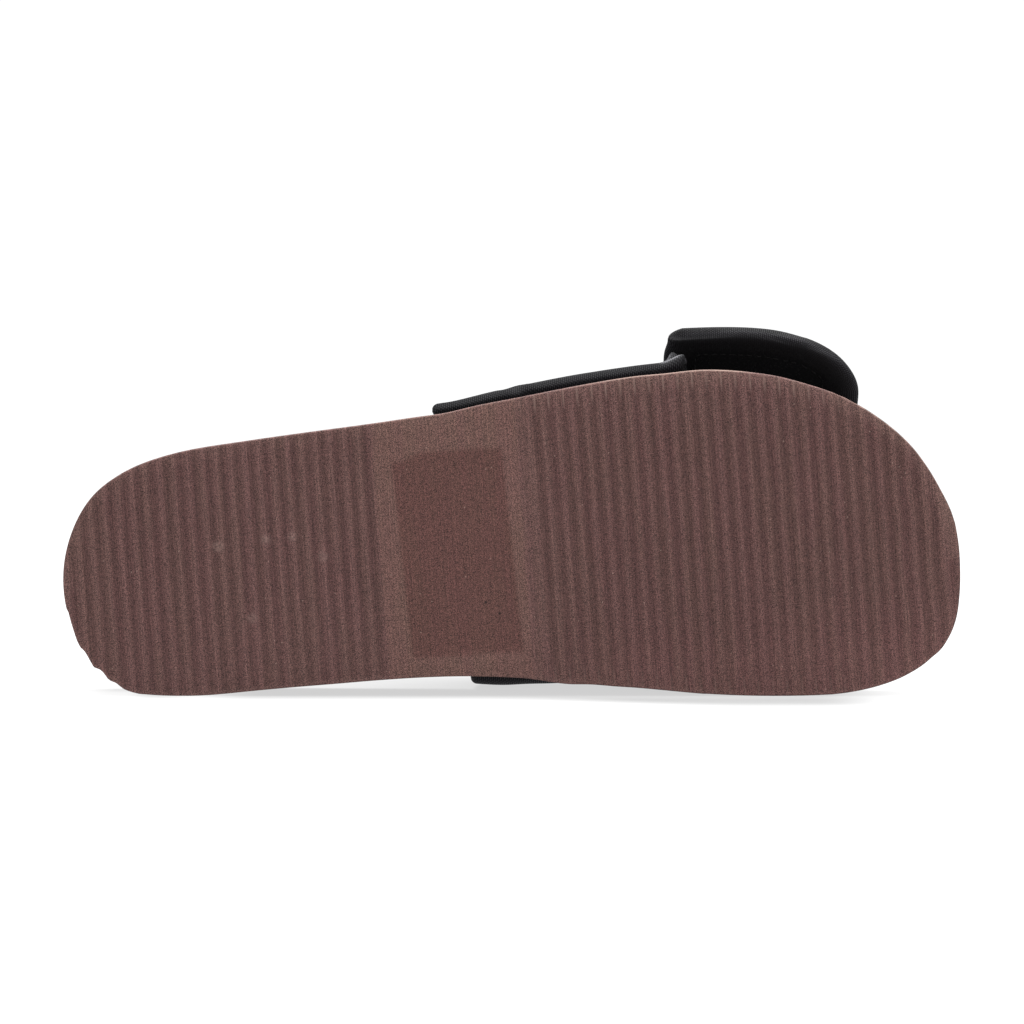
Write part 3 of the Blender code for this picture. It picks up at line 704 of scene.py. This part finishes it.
def build_inner_strap():
    w = spread(86, 0.75)
    rear, front = edges_of(INNER_STRAP, 180.0)
    keys = base_rows(1, rear, front, w, INNER_RISE)
    for turn in np.linspace(178.0, TAB_LEAVES, 26):
        a, b = edges_of(INNER_STRAP, turn)
        keys.append(arch(a + (b - a) * w, turn, over_mid(turn)))
    for reach, drop, a, b in TAB:
        x = a + (b - a) * w
        leave = arch(x, TAB_LEAVES, 2.2)
        y = outer_edge(x) - reach - (TAB_SKEW * w + 1.6 * w * (1 - w)) * drop + 0.55
        y = y + (0.46 * bump(0.24, 0.22, w) + 0.22 * bump(0.80, 0.14, w)) * ease(0.6, 0.95, drop)
        z = leave[:, 2] - TAB_DROP * drop - 0.4
        keys.append(np.stack([x, y, z], -1))
    rows = np.concatenate([np.linspace(0, 0.10, 18)[:-1], np.linspace(0.10, 0.80, 72)[:-1],
                           np.linspace(0.80, 0.965, 34)[:-1], 0.965 + 0.035 * np.sin(np.linspace(0, np.pi / 2, 18))])
    G, uu = strap_grid(keys, rows)
    U = np.repeat(uu[:, None], G.shape[1], 1)
    X = G[..., 0]
    radius = 2.0 + 0.5 * ease(0.72, 0.9, U / uu[-1])
    # soft dips where the strap bends over the instep
    dents = -0.55 * bump(60.0, 6.0, U + 0.35 * (X - 165.0)) - 0.45 * bump(84.0, 5.0, U - 0.25 * (X - 170.0))
    dents = dents + 0.50 * bump(72.0, 5.0, U + 0.10 * (X - 170.0))
    # a slanting pull from the inner base towards the tab
    pull = U - 0.55 * (X - 150.0)
    dents = dents + (0.45 * bump(48.0, 3.2, pull) - 0.55 * bump(54.5, 3.0, pull)) * ease(38.0, 48.0, U) * (1 - ease(70.0, 92.0, U))
    dents = dents - 0.45 * bump(99.0, 3.6, U + 0.06 * (X - 195.0)) * ease(168.0, 182.0, X) * (1 - ease(206.0, 222.0, X))
    D = edge_distance(G, uu)[0]
    # painted shade: the rolled end edge of the tab is darkened
    painted_light = -0.6 * ease(uu[-1] - 30.0, uu[-1] - 18.0, U) * (1 - ease(0.0, 1.9, D))
    return pad("strap_inner", G, uu, 1.0, radius, 0.8, 0.85, tab_from=uu[-1] - 36.0, dents=dents, painted_light=painted_light)


def sew(name, info, inset, lift, face="A", upto=None, begin=4.0, step=3.1, length=2.2, thick=0.30, tab_from=None):
    """A row of single stitches at a set distance inside the free edge, joined into one mesh."""
    line, _ = free_edge(info["G"], info["uu"])
    seg = np.linalg.norm(np.diff(line, axis=0), axis=1)
    keep = np.concatenate([[True], seg > 1e-6])
    line = line[keep]
    at = np.concatenate([[0.0], np.cumsum(np.linalg.norm(np.diff(line, axis=0), axis=1))])
    fine = np.arange(0.0, at[-1], 0.25)
    pts = np.stack([np.interp(fine, at, line[:, k]) for k in (0, 1)], -1)
    tan = np.gradient(pts, axis=0)
    tan /= np.maximum(np.linalg.norm(tan, axis=1, keepdims=True), 1e-9)
    # the edge runs up the rear side first, so the strap lies on the side of growing x
    q = pts + np.stack([-tan[:, 1], tan[:, 0]], -1) * inset
    d = np.array([np.min(np.hypot(line[:, 0] - u, line[:, 1] - v)) for u, v in q])
    ok = (d > inset - 0.15) & (q[:, 0] > begin)
    if tab_from is not None:
        ok &= q[:, 0] > tab_from
    q = q[ok]
    uu, V = info["uu"], info["G"][..., 0]
    S, N = info[face], info["N"] * (1.0 if face == "A" else -1.0)

    def on_surface(u, v):
        r = np.clip(np.interp(u, uu, np.arange(len(uu))), 0, len(uu) - 1.001)
        r0 = int(r)
        fr = r - r0
        row_v = V[r0] * (1 - fr) + V[r0 + 1] * fr
        c = np.clip(np.interp(v, row_v, np.arange(len(row_v))), 0, len(row_v) - 1.001)
        c0 = int(c)
        fc = c - c0

        def mixed(T):
            return (T[r0, c0] * (1 - fr) * (1 - fc) + T[r0 + 1, c0] * fr * (1 - fc)
                    + T[r0, c0 + 1] * (1 - fr) * fc + T[r0 + 1, c0 + 1] * fr * fc)
        n = mixed(N)
        return mixed(S), n / max(np.linalg.norm(n), 1e-9)

    run = np.concatenate([[0.0], np.cumsum(np.linalg.norm(np.diff(q, axis=0), axis=1))])
    verts, quads, tris = [], [], []
    sides, rings = 6, (-0.5, -0.38, 0.0, 0.38, 0.5)
    s0 = 0.0
    while s0 + length < run[-1]:
        i, j = np.searchsorted(run, (s0, s0 + length))
        if np.linalg.norm(q[min(j, len(q) - 1)] - q[i]) < 1.4 * length:
            p0, n0 = on_surface(*q[i])
            p1, n1 = on_surface(*q[min(j, len(q) - 1)])
            n = n0 + n1
            n /= max(np.linalg.norm(n), 1e-9)
            t = p1 - p0
            size = np.linalg.norm(t)
            if size > 0.5:
                t /= size
                b = np.cross(n, t)
                base = len(verts)
                for r in rings:
                    sink = lift - 0.30 * (2 * abs(r)) ** 3
                    fat = thick * (1.0 if abs(r) < 0.3 else (0.8 if abs(r) < 0.45 else 0.35))
                    mid = (p0 + p1) / 2 + t * r * size + n * sink
                    for k in range(sides):
                        ang = 2 * math.pi * k / sides
                        verts.append(mid + fat * (math.cos(ang) * b + 0.8 * math.sin(ang) * n))
                for r in range(len(rings) - 1):
                    for k in range(sides):
                        k2 = (k + 1) % sides
                        quads.append((base + r * sides + k, base + r * sides + k2,
                                      base + (r + 1) * sides + k2, base + (r + 1) * sides + k))
                last = base + (len(rings) - 1) * sides
                for k in range(1, sides - 1):
                    tris.append((base, base + k + 1, base + k))
                    tris.append((last, last + k, last + k + 1))
        s0 += step
    verts = np.array(verts)
    verts[:, 1] = np.minimum(verts[:, 1], floor_line(verts[:, 0]) - 0.02)
    return make_mesh(name, to_world(verts), quads, tris)


# ------------------------------------------------------------------ materials
class Nodes:
    """Short hand for building a node tree."""

    def __init__(self, name):
        self.mat = bpy.data.materials.new(name)
        self.mat.use_nodes = True
        self.tree = self.mat.node_tree
        self.shader = self.tree.nodes["Principled BSDF"]

    def add(self, kind, **props):
        node = self.tree.nodes.new(kind)
        for key, value in props.items():
            setattr(node, key, value)
        return node

    def put(self, socket, value):
        if hasattr(value, "node"):
            self.tree.links.new(value, socket)
        else:
            socket.default_value = value

    def attr(self, name):
        return self.add("ShaderNodeAttribute", attribute_name=name).outputs["Fac"]

    def coords(self, scale=(1000.0, 1000.0, 1000.0), kind="Object", rotate=(0, 0, 0)):
        tc = self.add("ShaderNodeTexCoord")
        mp = self.add("ShaderNodeMapping")
        mp.inputs["Scale"].default_value = scale
        mp.inputs["Rotation"].default_value = rotate
        self.tree.links.new(tc.outputs[kind], mp.inputs["Vector"])
        return mp.outputs["Vector"]

    def noise(self, vector, scale, detail=2.0, rough=0.5):
        n = self.add("ShaderNodeTexNoise")
        self.put(n.inputs["Vector"], vector)
        n.inputs["Scale"].default_value = scale
        n.inputs["Detail"].default_value = detail
        n.inputs["Roughness"].default_value = rough
        return n.outputs["Fac"]

    def voronoi(self, vector, scale, feature="F1", out="Distance"):
        n = self.add("ShaderNodeTexVoronoi", feature=feature)
        self.put(n.inputs["Vector"], vector)
        n.inputs["Scale"].default_value = scale
        return n.outputs[out]

    def ramp(self, value, a, b, lo=0.0, hi=1.0, smoothstep=True):
        n = self.add("ShaderNodeMapRange", interpolation_type="SMOOTHSTEP" if smoothstep else "LINEAR")
        self.put(n.inputs["Value"], value)
        n.inputs["From Min"].default_value = a
        n.inputs["From Max"].default_value = b
        n.inputs["To Min"].default_value = lo
        n.inputs["To Max"].default_value = hi
        return n.outputs["Result"]

    def math(self, op, a, b=None, c=None):
        n = self.add("ShaderNodeMath", operation=op)
        self.put(n.inputs[0], a)
        if b is not None:
            self.put(n.inputs[1], b)
        if c is not None:
            self.put(n.inputs[2], c)
        return n.outputs[0]

    def mix(self, factor, a, b, blend="MIX"):
        n = self.add("ShaderNodeMix", data_type="RGBA", blend_type=blend)
        self.put(n.inputs[0], factor)
        for socket, value in ((n.inputs[6], a), (n.inputs[7], b)):
            if isinstance(value, tuple):
                value = (*value, 1.0) if len(value) == 3 else value
            self.put(socket, value)
        return n.outputs[2]

    def bump(self, height, strength, distance, normal=None):
        n = self.add("ShaderNodeBump")
        self.put(n.inputs["Height"], height)
        n.inputs["Strength"].default_value = strength
        n.inputs["Distance"].default_value = distance
        if normal is not None:
            self.put(n.inputs["Normal"], normal)
        return n.outputs["Normal"]

    def set(self, **sockets):
        for key, value in sockets.items():
            self.put(self.shader.inputs[key.replace("_", " ")], value)


def lin(r, g, b):
    """sRGB 0 to 255 as linear colour."""
    def one(v):
        v /= 255.0
        return v / 12.92 if v <= 0.04045 else ((v + 0.055) / 1.055) ** 2.4
    return (one(r), one(g), one(b))


def outsole_material():
    n = Nodes("outsole_foam")
    p = n.coords()
    grain = n.noise(p, 1.5, 2.0, 0.55)
    # turned, so that the flat tread cuts the noise at a slant and the grain is even
    fine = n.noise(n.coords(rotate=(0.62, 0.41, 0.33)), 5.3, 0.0, 0.5)
    cloud = n.noise(p, 0.045, 3.0, 0.55)
    along, across = n.attr("along"), n.attr("across")

    def drawn(x, y, shift=0.0):
        """Noise drawn out along the ribs."""
        at = n.add("ShaderNodeCombineXYZ")
        n.put(at.inputs[0], n.math("MULTIPLY", n.math("ADD", along, shift), x))
        n.put(at.inputs[1], n.math("MULTIPLY", across, y))
        at.inputs[2].default_value = 0.43
        return n.noise(at.outputs[0], 1.0, 1.0, 0.5)
    streak = drawn(0.26, 0.03)
    # fine lines only: the slow part of the noise is taken out
    fibre = n.math("ADD", n.math("SUBTRACT", drawn(2.9, 0.05, 0.18), drawn(2.9, 0.05, -0.18)), 0.5)
    relief, rim, rect = n.attr("relief"), n.attr("rim"), n.attr("rect")
    panel, tick, painted_edge_highlight = n.attr("panel"), n.attr("tick"), n.attr("painted_edge_highlight")
    # painted shade: the grooves are coloured darker than the crests
    col = n.mix(relief, lin(*OUTSOLE_CREST), lin(*OUTSOLE_GROOVE_SHADE))
    col = n.mix(panel, col, lin(*OUTSOLE_PANEL))
    col = n.mix(rect, col, lin(*OUTSOLE_RECT))
    # painted light: lighter colour near the tread's edges
    col = n.mix(n.math("MULTIPLY", rim, 0.30), col, lin(*OUTSOLE_EDGE_LIGHT))
    # cloudy unevenness, faint streaks of mixed foam, grain and pale flecks
    col = n.mix(n.ramp(cloud, 0.3, 0.7), col, n.mix(1.0, col, (0.955, 0.945, 0.945), "MULTIPLY"))
    col = n.mix(1.0, col, n.mix(n.ramp(streak, 0.35, 0.65), (1.012, 0.988, 1.006), (0.988, 1.012, 0.985)), "MULTIPLY")
    col = n.mix(n.ramp(n.attr("tread"), 0.0, 1.0, 0.25, 1.0), col,
                n.mix(1.0, col, n.mix(n.ramp(fibre, 0.2, 0.8, smoothstep=False), (0.80, 0.80, 0.81), (1.20, 1.20, 1.19)), "MULTIPLY"))
    # the forefoot is a shade darker towards its outer edge; towards its inner edge, next to the floor, it is painted
    # lighter as painted fill light
    col = n.mix(n.math("MULTIPLY", n.ramp(across, -44.0, -28.0), n.ramp(along, 136.0, 150.0)), col,
                n.mix(1.0, col, (0.955, 0.945, 0.94), "MULTIPLY"))
    col = n.mix(n.math("MULTIPLY", n.ramp(across, 16.0, 36.0), n.ramp(along, 138.0, 165.0)), col,
                n.mix(1.0, col, (1.14, 1.11, 1.13), "MULTIPLY"))
    col = n.mix(1.0, col, n.mix(n.ramp(grain, 0.30, 0.70), (0.96, 0.96, 0.96), (1.04, 1.04, 1.04)), "MULTIPLY")
    col = n.mix(n.ramp(n.attr("tread"), 0.0, 1.0, 0.4, 1.0), col,
                n.mix(1.0, col, n.mix(n.ramp(fine, 0.34, 0.66, smoothstep=False), (0.20, 0.20, 0.20), (1.80, 1.79, 1.77)), "MULTIPLY"))
    col = n.mix(n.math("MULTIPLY", tick, 0.45), col, lin(150, 124, 115))
    # painted highlight: a fine pale line along the outer edge
    col = n.mix(n.math("MULTIPLY", painted_edge_highlight, 0.32), col, lin(190, 164, 150))
    fleck = n.ramp(n.voronoi(p, 0.42), 0.10, 0.05)
    pick = n.ramp(n.noise(p, 0.16, 1.0), 0.52, 0.60)
    col = n.mix(n.math("MULTIPLY", n.math("MULTIPLY", fleck, pick), 0.4), col, lin(176, 150, 138))
    for (x, y, z), radius, strength, tone in MARKS:
        vd = n.add("ShaderNodeVectorMath", operation="DISTANCE")
        n.put(vd.inputs[0], p)
        vd.inputs[1].default_value = (x, y, z)
        spot = n.ramp(vd.outputs["Value"], radius, radius * 0.15)
        blot = n.math("MULTIPLY", spot, n.math("MULTIPLY", n.ramp(grain, 0.3, 0.62), strength))
        col = n.mix(n.math("MINIMUM", blot, 0.95), col, lin(*tone))
    rough = n.ramp(grain, 0.2, 0.8, 0.66, 0.84)
    height = n.math("ADD", n.math("MULTIPLY", grain, 0.7), n.math("MULTIPLY", fine, 0.4))
    n.set(Base_Color=col, Roughness=rough, Normal=n.bump(height, 0.22, 0.00025))
    n.shader.inputs["Specular IOR Level"].default_value = 0.25
    return n.mat


def insole_material():
    n = Nodes("insole_foam")
    p = n.coords()
    grain = n.noise(p, 1.6, 3.0, 0.6)
    cloud = n.noise(p, 0.04, 3.0, 0.55)
    nub, line = n.attr("nub"), n.attr("rimline")
    col = n.mix(n.ramp(nub, 0.0, 0.9), lin(84, 61, 57), lin(108, 82, 76))
    col = n.mix(n.math("MULTIPLY", line, 0.5), col, lin(62, 44, 41))
    col = n.mix(n.ramp(cloud, 0.3, 0.7), col, n.mix(1.0, col, (0.88, 0.86, 0.86), "MULTIPLY"))
    col = n.mix(1.0, col, n.mix(n.ramp(grain, 0.32, 0.68), (0.85, 0.85, 0.85), (1.15, 1.15, 1.15)), "MULTIPLY")
    n.set(Base_Color=col, Roughness=n.ramp(grain, 0.2, 0.8, 0.66, 0.84), Normal=n.bump(grain, 0.25, 0.00025))
    n.shader.inputs["Specular IOR Level"].default_value = 0.3
    return n.mat


def knit_material(name, dark, middle_tone, light, gleam, painted_sheen=False):
    n = Nodes(name)
    uv = n.add("ShaderNodeUVMap", uv_map="UVMap").outputs["UV"]
    sep = n.add("ShaderNodeSeparateXYZ")
    n.put(sep.inputs[0], uv)
    p = n.coords()
    # fine cords run along the strap, 0.58 mm apart, each a chain of slanting loops; 1 unit is 100 mm
    sway = n.math("MULTIPLY", n.noise(p, 0.12, 1.0), 2.5)
    v = n.math("ADD", n.math("MULTIPLY", sep.outputs[1], 2 * math.pi * 100.0 / 0.58), sway)
    u = n.math("MULTIPLY", sep.outputs[0], 2 * math.pi * 100.0 / 0.82)
    cords = n.ramp(n.math("SINE", v), -0.8, 0.9)
    loops = n.ramp(n.math("SINE", n.math("ADD", u, n.math("MULTIPLY", v, 0.5))), -0.6, 0.8)
    dots = n.math("MULTIPLY", cords, n.math("ADD", n.math("MULTIPLY", loops, 0.6), 0.4))
    fuzz = n.noise(p, 2.4, 2.0, 0.6)
    hook, inside = n.attr("hook"), n.attr("inside")
    col = n.mix(dots, lin(*dark), lin(*light))
    col = n.mix(n.ramp(fuzz, 0.40, 0.75, 0.0, 0.5), col, lin(*middle_tone))
    painted_light = n.attr("painted_light")
    # painted shade: where the attribute is negative the colour darkens towards near black
    col = n.mix(n.math("MAXIMUM", n.math("MULTIPLY", painted_light, -1.0), 0.0), col, lin(2, 2, 2))
    # brushed lining inside the rolled edge
    lining = n.math("MULTIPLY", n.math("SUBTRACT", 1.0, n.math("POWER", 0.6, n.attr("edge"))), inside)
    col = n.mix(lining, col, n.mix(n.ramp(fuzz, 0.3, 0.7), lin(3, 2, 3), lin(10, 9, 11)))
    # loops and hooks of the closure inside the tab
    hooks = n.ramp(n.voronoi(p, 1.15), 0.10, 0.42)
    col = n.mix(hook, col, n.mix(hooks, lin(12, 11, 12), lin(3, 3, 4)))
    tall = n.math("ADD", n.math("MULTIPLY", dots, 0.8), n.math("MULTIPLY", fuzz, 0.25))
    tall = n.math("ADD", n.math("MULTIPLY", tall, n.math("SUBTRACT", 1.0, hook)),
                  n.math("MULTIPLY", n.math("SUBTRACT", 1.0, hooks), n.math("MULTIPLY", hook, 1.4)))
    rough = n.math("MAXIMUM", n.ramp(dots, 0.0, 1.0, 0.85, 0.52), lining)
    n.set(Base_Color=col, Roughness=rough, Normal=n.bump(tall, 0.5, 0.0003))
    n.shader.inputs["Specular IOR Level"].default_value = gleam
    n.shader.inputs["Sheen Weight"].default_value = gleam / 6.0
    # painted highlight: on the outer strap the sheen weight rises with the attribute's positive values
    if painted_sheen:
        n.put(n.shader.inputs["Sheen Weight"], n.ramp(painted_light, 0.0, 1.0, gleam / 6.0, 1.0, smoothstep=False))
    n.shader.inputs["Sheen Roughness"].default_value = 0.4
    n.shader.inputs["Sheen Tint"].default_value = (0.85, 0.85, 0.9, 1.0)
    return n.mat


def thread_material():
    n = Nodes("strap_thread")
    p = n.coords()
    twist = n.add("ShaderNodeTexWave", bands_direction="DIAGONAL")
    n.put(twist.inputs["Vector"], p)
    twist.inputs["Scale"].default_value = 0.9
    col = n.mix(twist.outputs["Fac"], lin(7, 6, 7), lin(18, 17, 18))
    n.set(Base_Color=col, Roughness=0.7, Normal=n.bump(twist.outputs["Fac"], 0.5, 0.0001))
    n.shader.inputs["Specular IOR Level"].default_value = 0.12
    return n.mat


OUTSOLE_CREST = (92, 66, 63)
OUTSOLE_GROOVE_SHADE = (76, 52, 50)
OUTSOLE_PANEL = (95, 69, 64)
OUTSOLE_RECT = (84, 56, 52)
OUTSOLE_EDGE_LIGHT = (112, 88, 82)
# dark between the cords, middle, cords, gleam: the strap with the tab is a little lighter
KNIT_INNER = ((8, 7, 9), (17, 16, 18), (50, 49, 53), 0.12)
KNIT_OUTER = ((3, 3, 4), (8, 7, 9), (34, 33, 36), 0.05)


def px(x, y, deep=0.1):
    """A place on the tread in row-frame mm, from its place in a 1024 wide picture and its depth."""
    s = 0.29028
    return ((x - 511.6) * s, -38.39 + deep, (695.9 - y) * s)


MARKS = (
    (px(218, 546), 2.6, 0.35, (150, 126, 118)),
    (px(252, 618), 2.4, 0.30, (146, 122, 115)),
    (px(266, 539), 2.4, 0.30, (146, 122, 115)),
    (px(292, 536), 2.2, 0.30, (146, 122, 115)),
    (px(323, 556), 2.4, 0.28, (146, 122, 115)),
    (px(486, 602, 0.5), 0.55, 2.2, (22, 13, 12)),
    (px(500, 613, 0.5), 0.60, 2.2, (22, 13, 12)),
)


# ------------------------------------------------------------------ put together
outsole = build_outsole()
outsole.data.materials.append(outsole_material())
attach(outsole, "root")
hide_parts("outsole")

insole = build_insole()
insole.data.materials.append(insole_material())
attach(insole, "root")
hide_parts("insole")

outer_strap, outer_info = build_outer_strap()
inner_strap, inner_info = build_inner_strap()
for strap, knit in ((outer_strap, knit_material("strap_knit_outer", *KNIT_OUTER, painted_sheen=True)),
                    (inner_strap, knit_material("strap_knit_inner", *KNIT_INNER))):
    strap.data.materials.append(knit)
    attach(strap, "root")
    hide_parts("upper")

thread = thread_material()
tab_from = inner_info["uu"][-1] - 36.0
for row in (sew("stitches_outer", outer_info, 5.6, 0.10, begin=17.0), sew("stitches_inner", inner_info, 5.6, 0.10, begin=17.0),
            sew("stitches_tab", inner_info, 9.6, 0.14, face="B", tab_from=tab_from + 2.0, step=2.6, length=1.8, thick=0.24)):
    row.data.materials.append(thread)
    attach(row, "root")

# ------------------------------------------------------------------ floor, light, camera
floor_mesh = bpy.data.meshes.new("floor")
half = 4.0
floor_mesh.from_pydata([(-half, -half, 0), (half, -half, 0), (half, half, 0), (-half, half, 0)], [], [(0, 1, 2, 3)])
floor = bpy.data.objects.new("floor", floor_mesh)
bpy.context.scene.collection.objects.link(floor)
white = Nodes("floor_white")
# the floor glows, less so in a soft patch under the sandal, so that the shadow stays as pale as it is in the photograph
place = white.add("ShaderNodeSeparateXYZ")
white.put(place.inputs[0], white.coords((1.0, 1.0, 1.0)))
fx, fy = place.outputs[0], place.outputs[1]
front = white.math("SUBTRACT", fy, white.ramp(fx, -0.012, 0.07, -0.046, -0.073))
# it reaches further out round the heel, where it is fainter in front
sides = white.math("POWER", white.math("DIVIDE", white.math("SUBTRACT", fx, 0.0065), white.ramp(fx, -0.11, -0.09, 0.128, 0.0955)), 2.0)
behind = white.math("POWER", white.math("DIVIDE", white.math("MAXIMUM", fy, 0.0), white.ramp(fx, -0.11, -0.06, 0.10, 0.055)), 2.0)
spread_out = white.math("POWER", white.math("ADD", sides, behind), 0.5)
# painted shadow: the glow is lowered in this soft patch, deepest in front of the ball
patch = white.math("MULTIPLY", white.ramp(front, -0.016, 0.012), white.ramp(spread_out, 0.8325, 1.1675, 1.0, 0.0))
faint = white.math("MULTIPLY", white.ramp(fx, -0.113, -0.100, 1.0, 0.0), white.ramp(fy, -0.030, -0.008, 0.78, 0.0))
patch = white.math("MULTIPLY", patch, white.math("SUBTRACT", 1.0, faint))
deep = white.math("MULTIPLY", white.ramp(fy, -0.056, -0.040, 1.0, 0.0), white.ramp(fx, 0.0, 0.04, 0.0, 0.10))
glow = white.math("SUBTRACT", 0.98, white.math("MULTIPLY", patch, white.math("ADD", deep, 0.36)))
white.set(Base_Color=(0.10, 0.10, 0.10, 1.0), Roughness=0.9, Emission_Color=(1.0, 1.0, 1.0, 1.0), Emission_Strength=glow)
white.shader.inputs["Specular IOR Level"].default_value = 0.0
floor_mesh.materials.append(white.mat)

world = bpy.data.worlds.new("studio")
bpy.context.scene.world = world
world.use_nodes = True
tree = world.node_tree
back = tree.nodes["Background"]
back.inputs["Color"].default_value = (1.0, 1.0, 1.0, 1.0)
seen = tree.nodes.new("ShaderNodeLightPath")
level = tree.nodes.new("ShaderNodeMapRange")
tree.links.new(seen.outputs["Is Camera Ray"], level.inputs["Value"])
level.inputs["To Min"].default_value = 0.8
level.inputs["To Max"].default_value = 1.05
tree.links.new(level.outputs["Result"], back.inputs["Strength"])


def softbox(name, at, aim, size, power):
    light = bpy.data.lights.new(name, "AREA")
    light.shape = "RECTANGLE"
    light.size, light.size_y = size
    light.energy = power
    obj = bpy.data.objects.new(name, light)
    bpy.context.scene.collection.objects.link(obj)
    obj.location = at
    obj.rotation_euler = (Vector(aim) - Vector(at)).to_track_quat("-Z", "Y").to_euler()
    return obj


softbox("top_box", (0.10, 0.32, 1.6), (0.0, 0.05, 0.05), (2.0, 1.2), 92.0)
softbox("front_fill", (0.15, -2.0, 0.34), (0.0, 0.0, 0.03), (1.8, 0.6), 9.5)

scene = bpy.context.scene
scene.view_settings.view_transform = "Standard"
scene.view_settings.look = "None"
scene.view_settings.exposure = 0.0
scene.view_settings.gamma = 1.0

DISTANCE, ELEVATION = 1.3, math.radians(2.0)
target = Vector((0.00015, -0.03839, 0.05355))
cam_data = bpy.data.cameras.new("camera")
cam = bpy.data.objects.new("camera", cam_data)
scene.collection.objects.link(cam)
cam.location = target + Vector((0.0, -math.cos(ELEVATION), math.sin(ELEVATION))) * DISTANCE
cam.rotation_euler = (target - cam.location).to_track_quat("-Z", "Y").to_euler()
cam_data.sensor_width = 36.0
cam_data.sensor_fit = "HORIZONTAL"
cam_data.lens = 36.0 * DISTANCE / (1024 * 0.29028 * MM)
cam_data.clip_start = 0.05
cam_data.clip_end = 50.0
scene.camera = cam
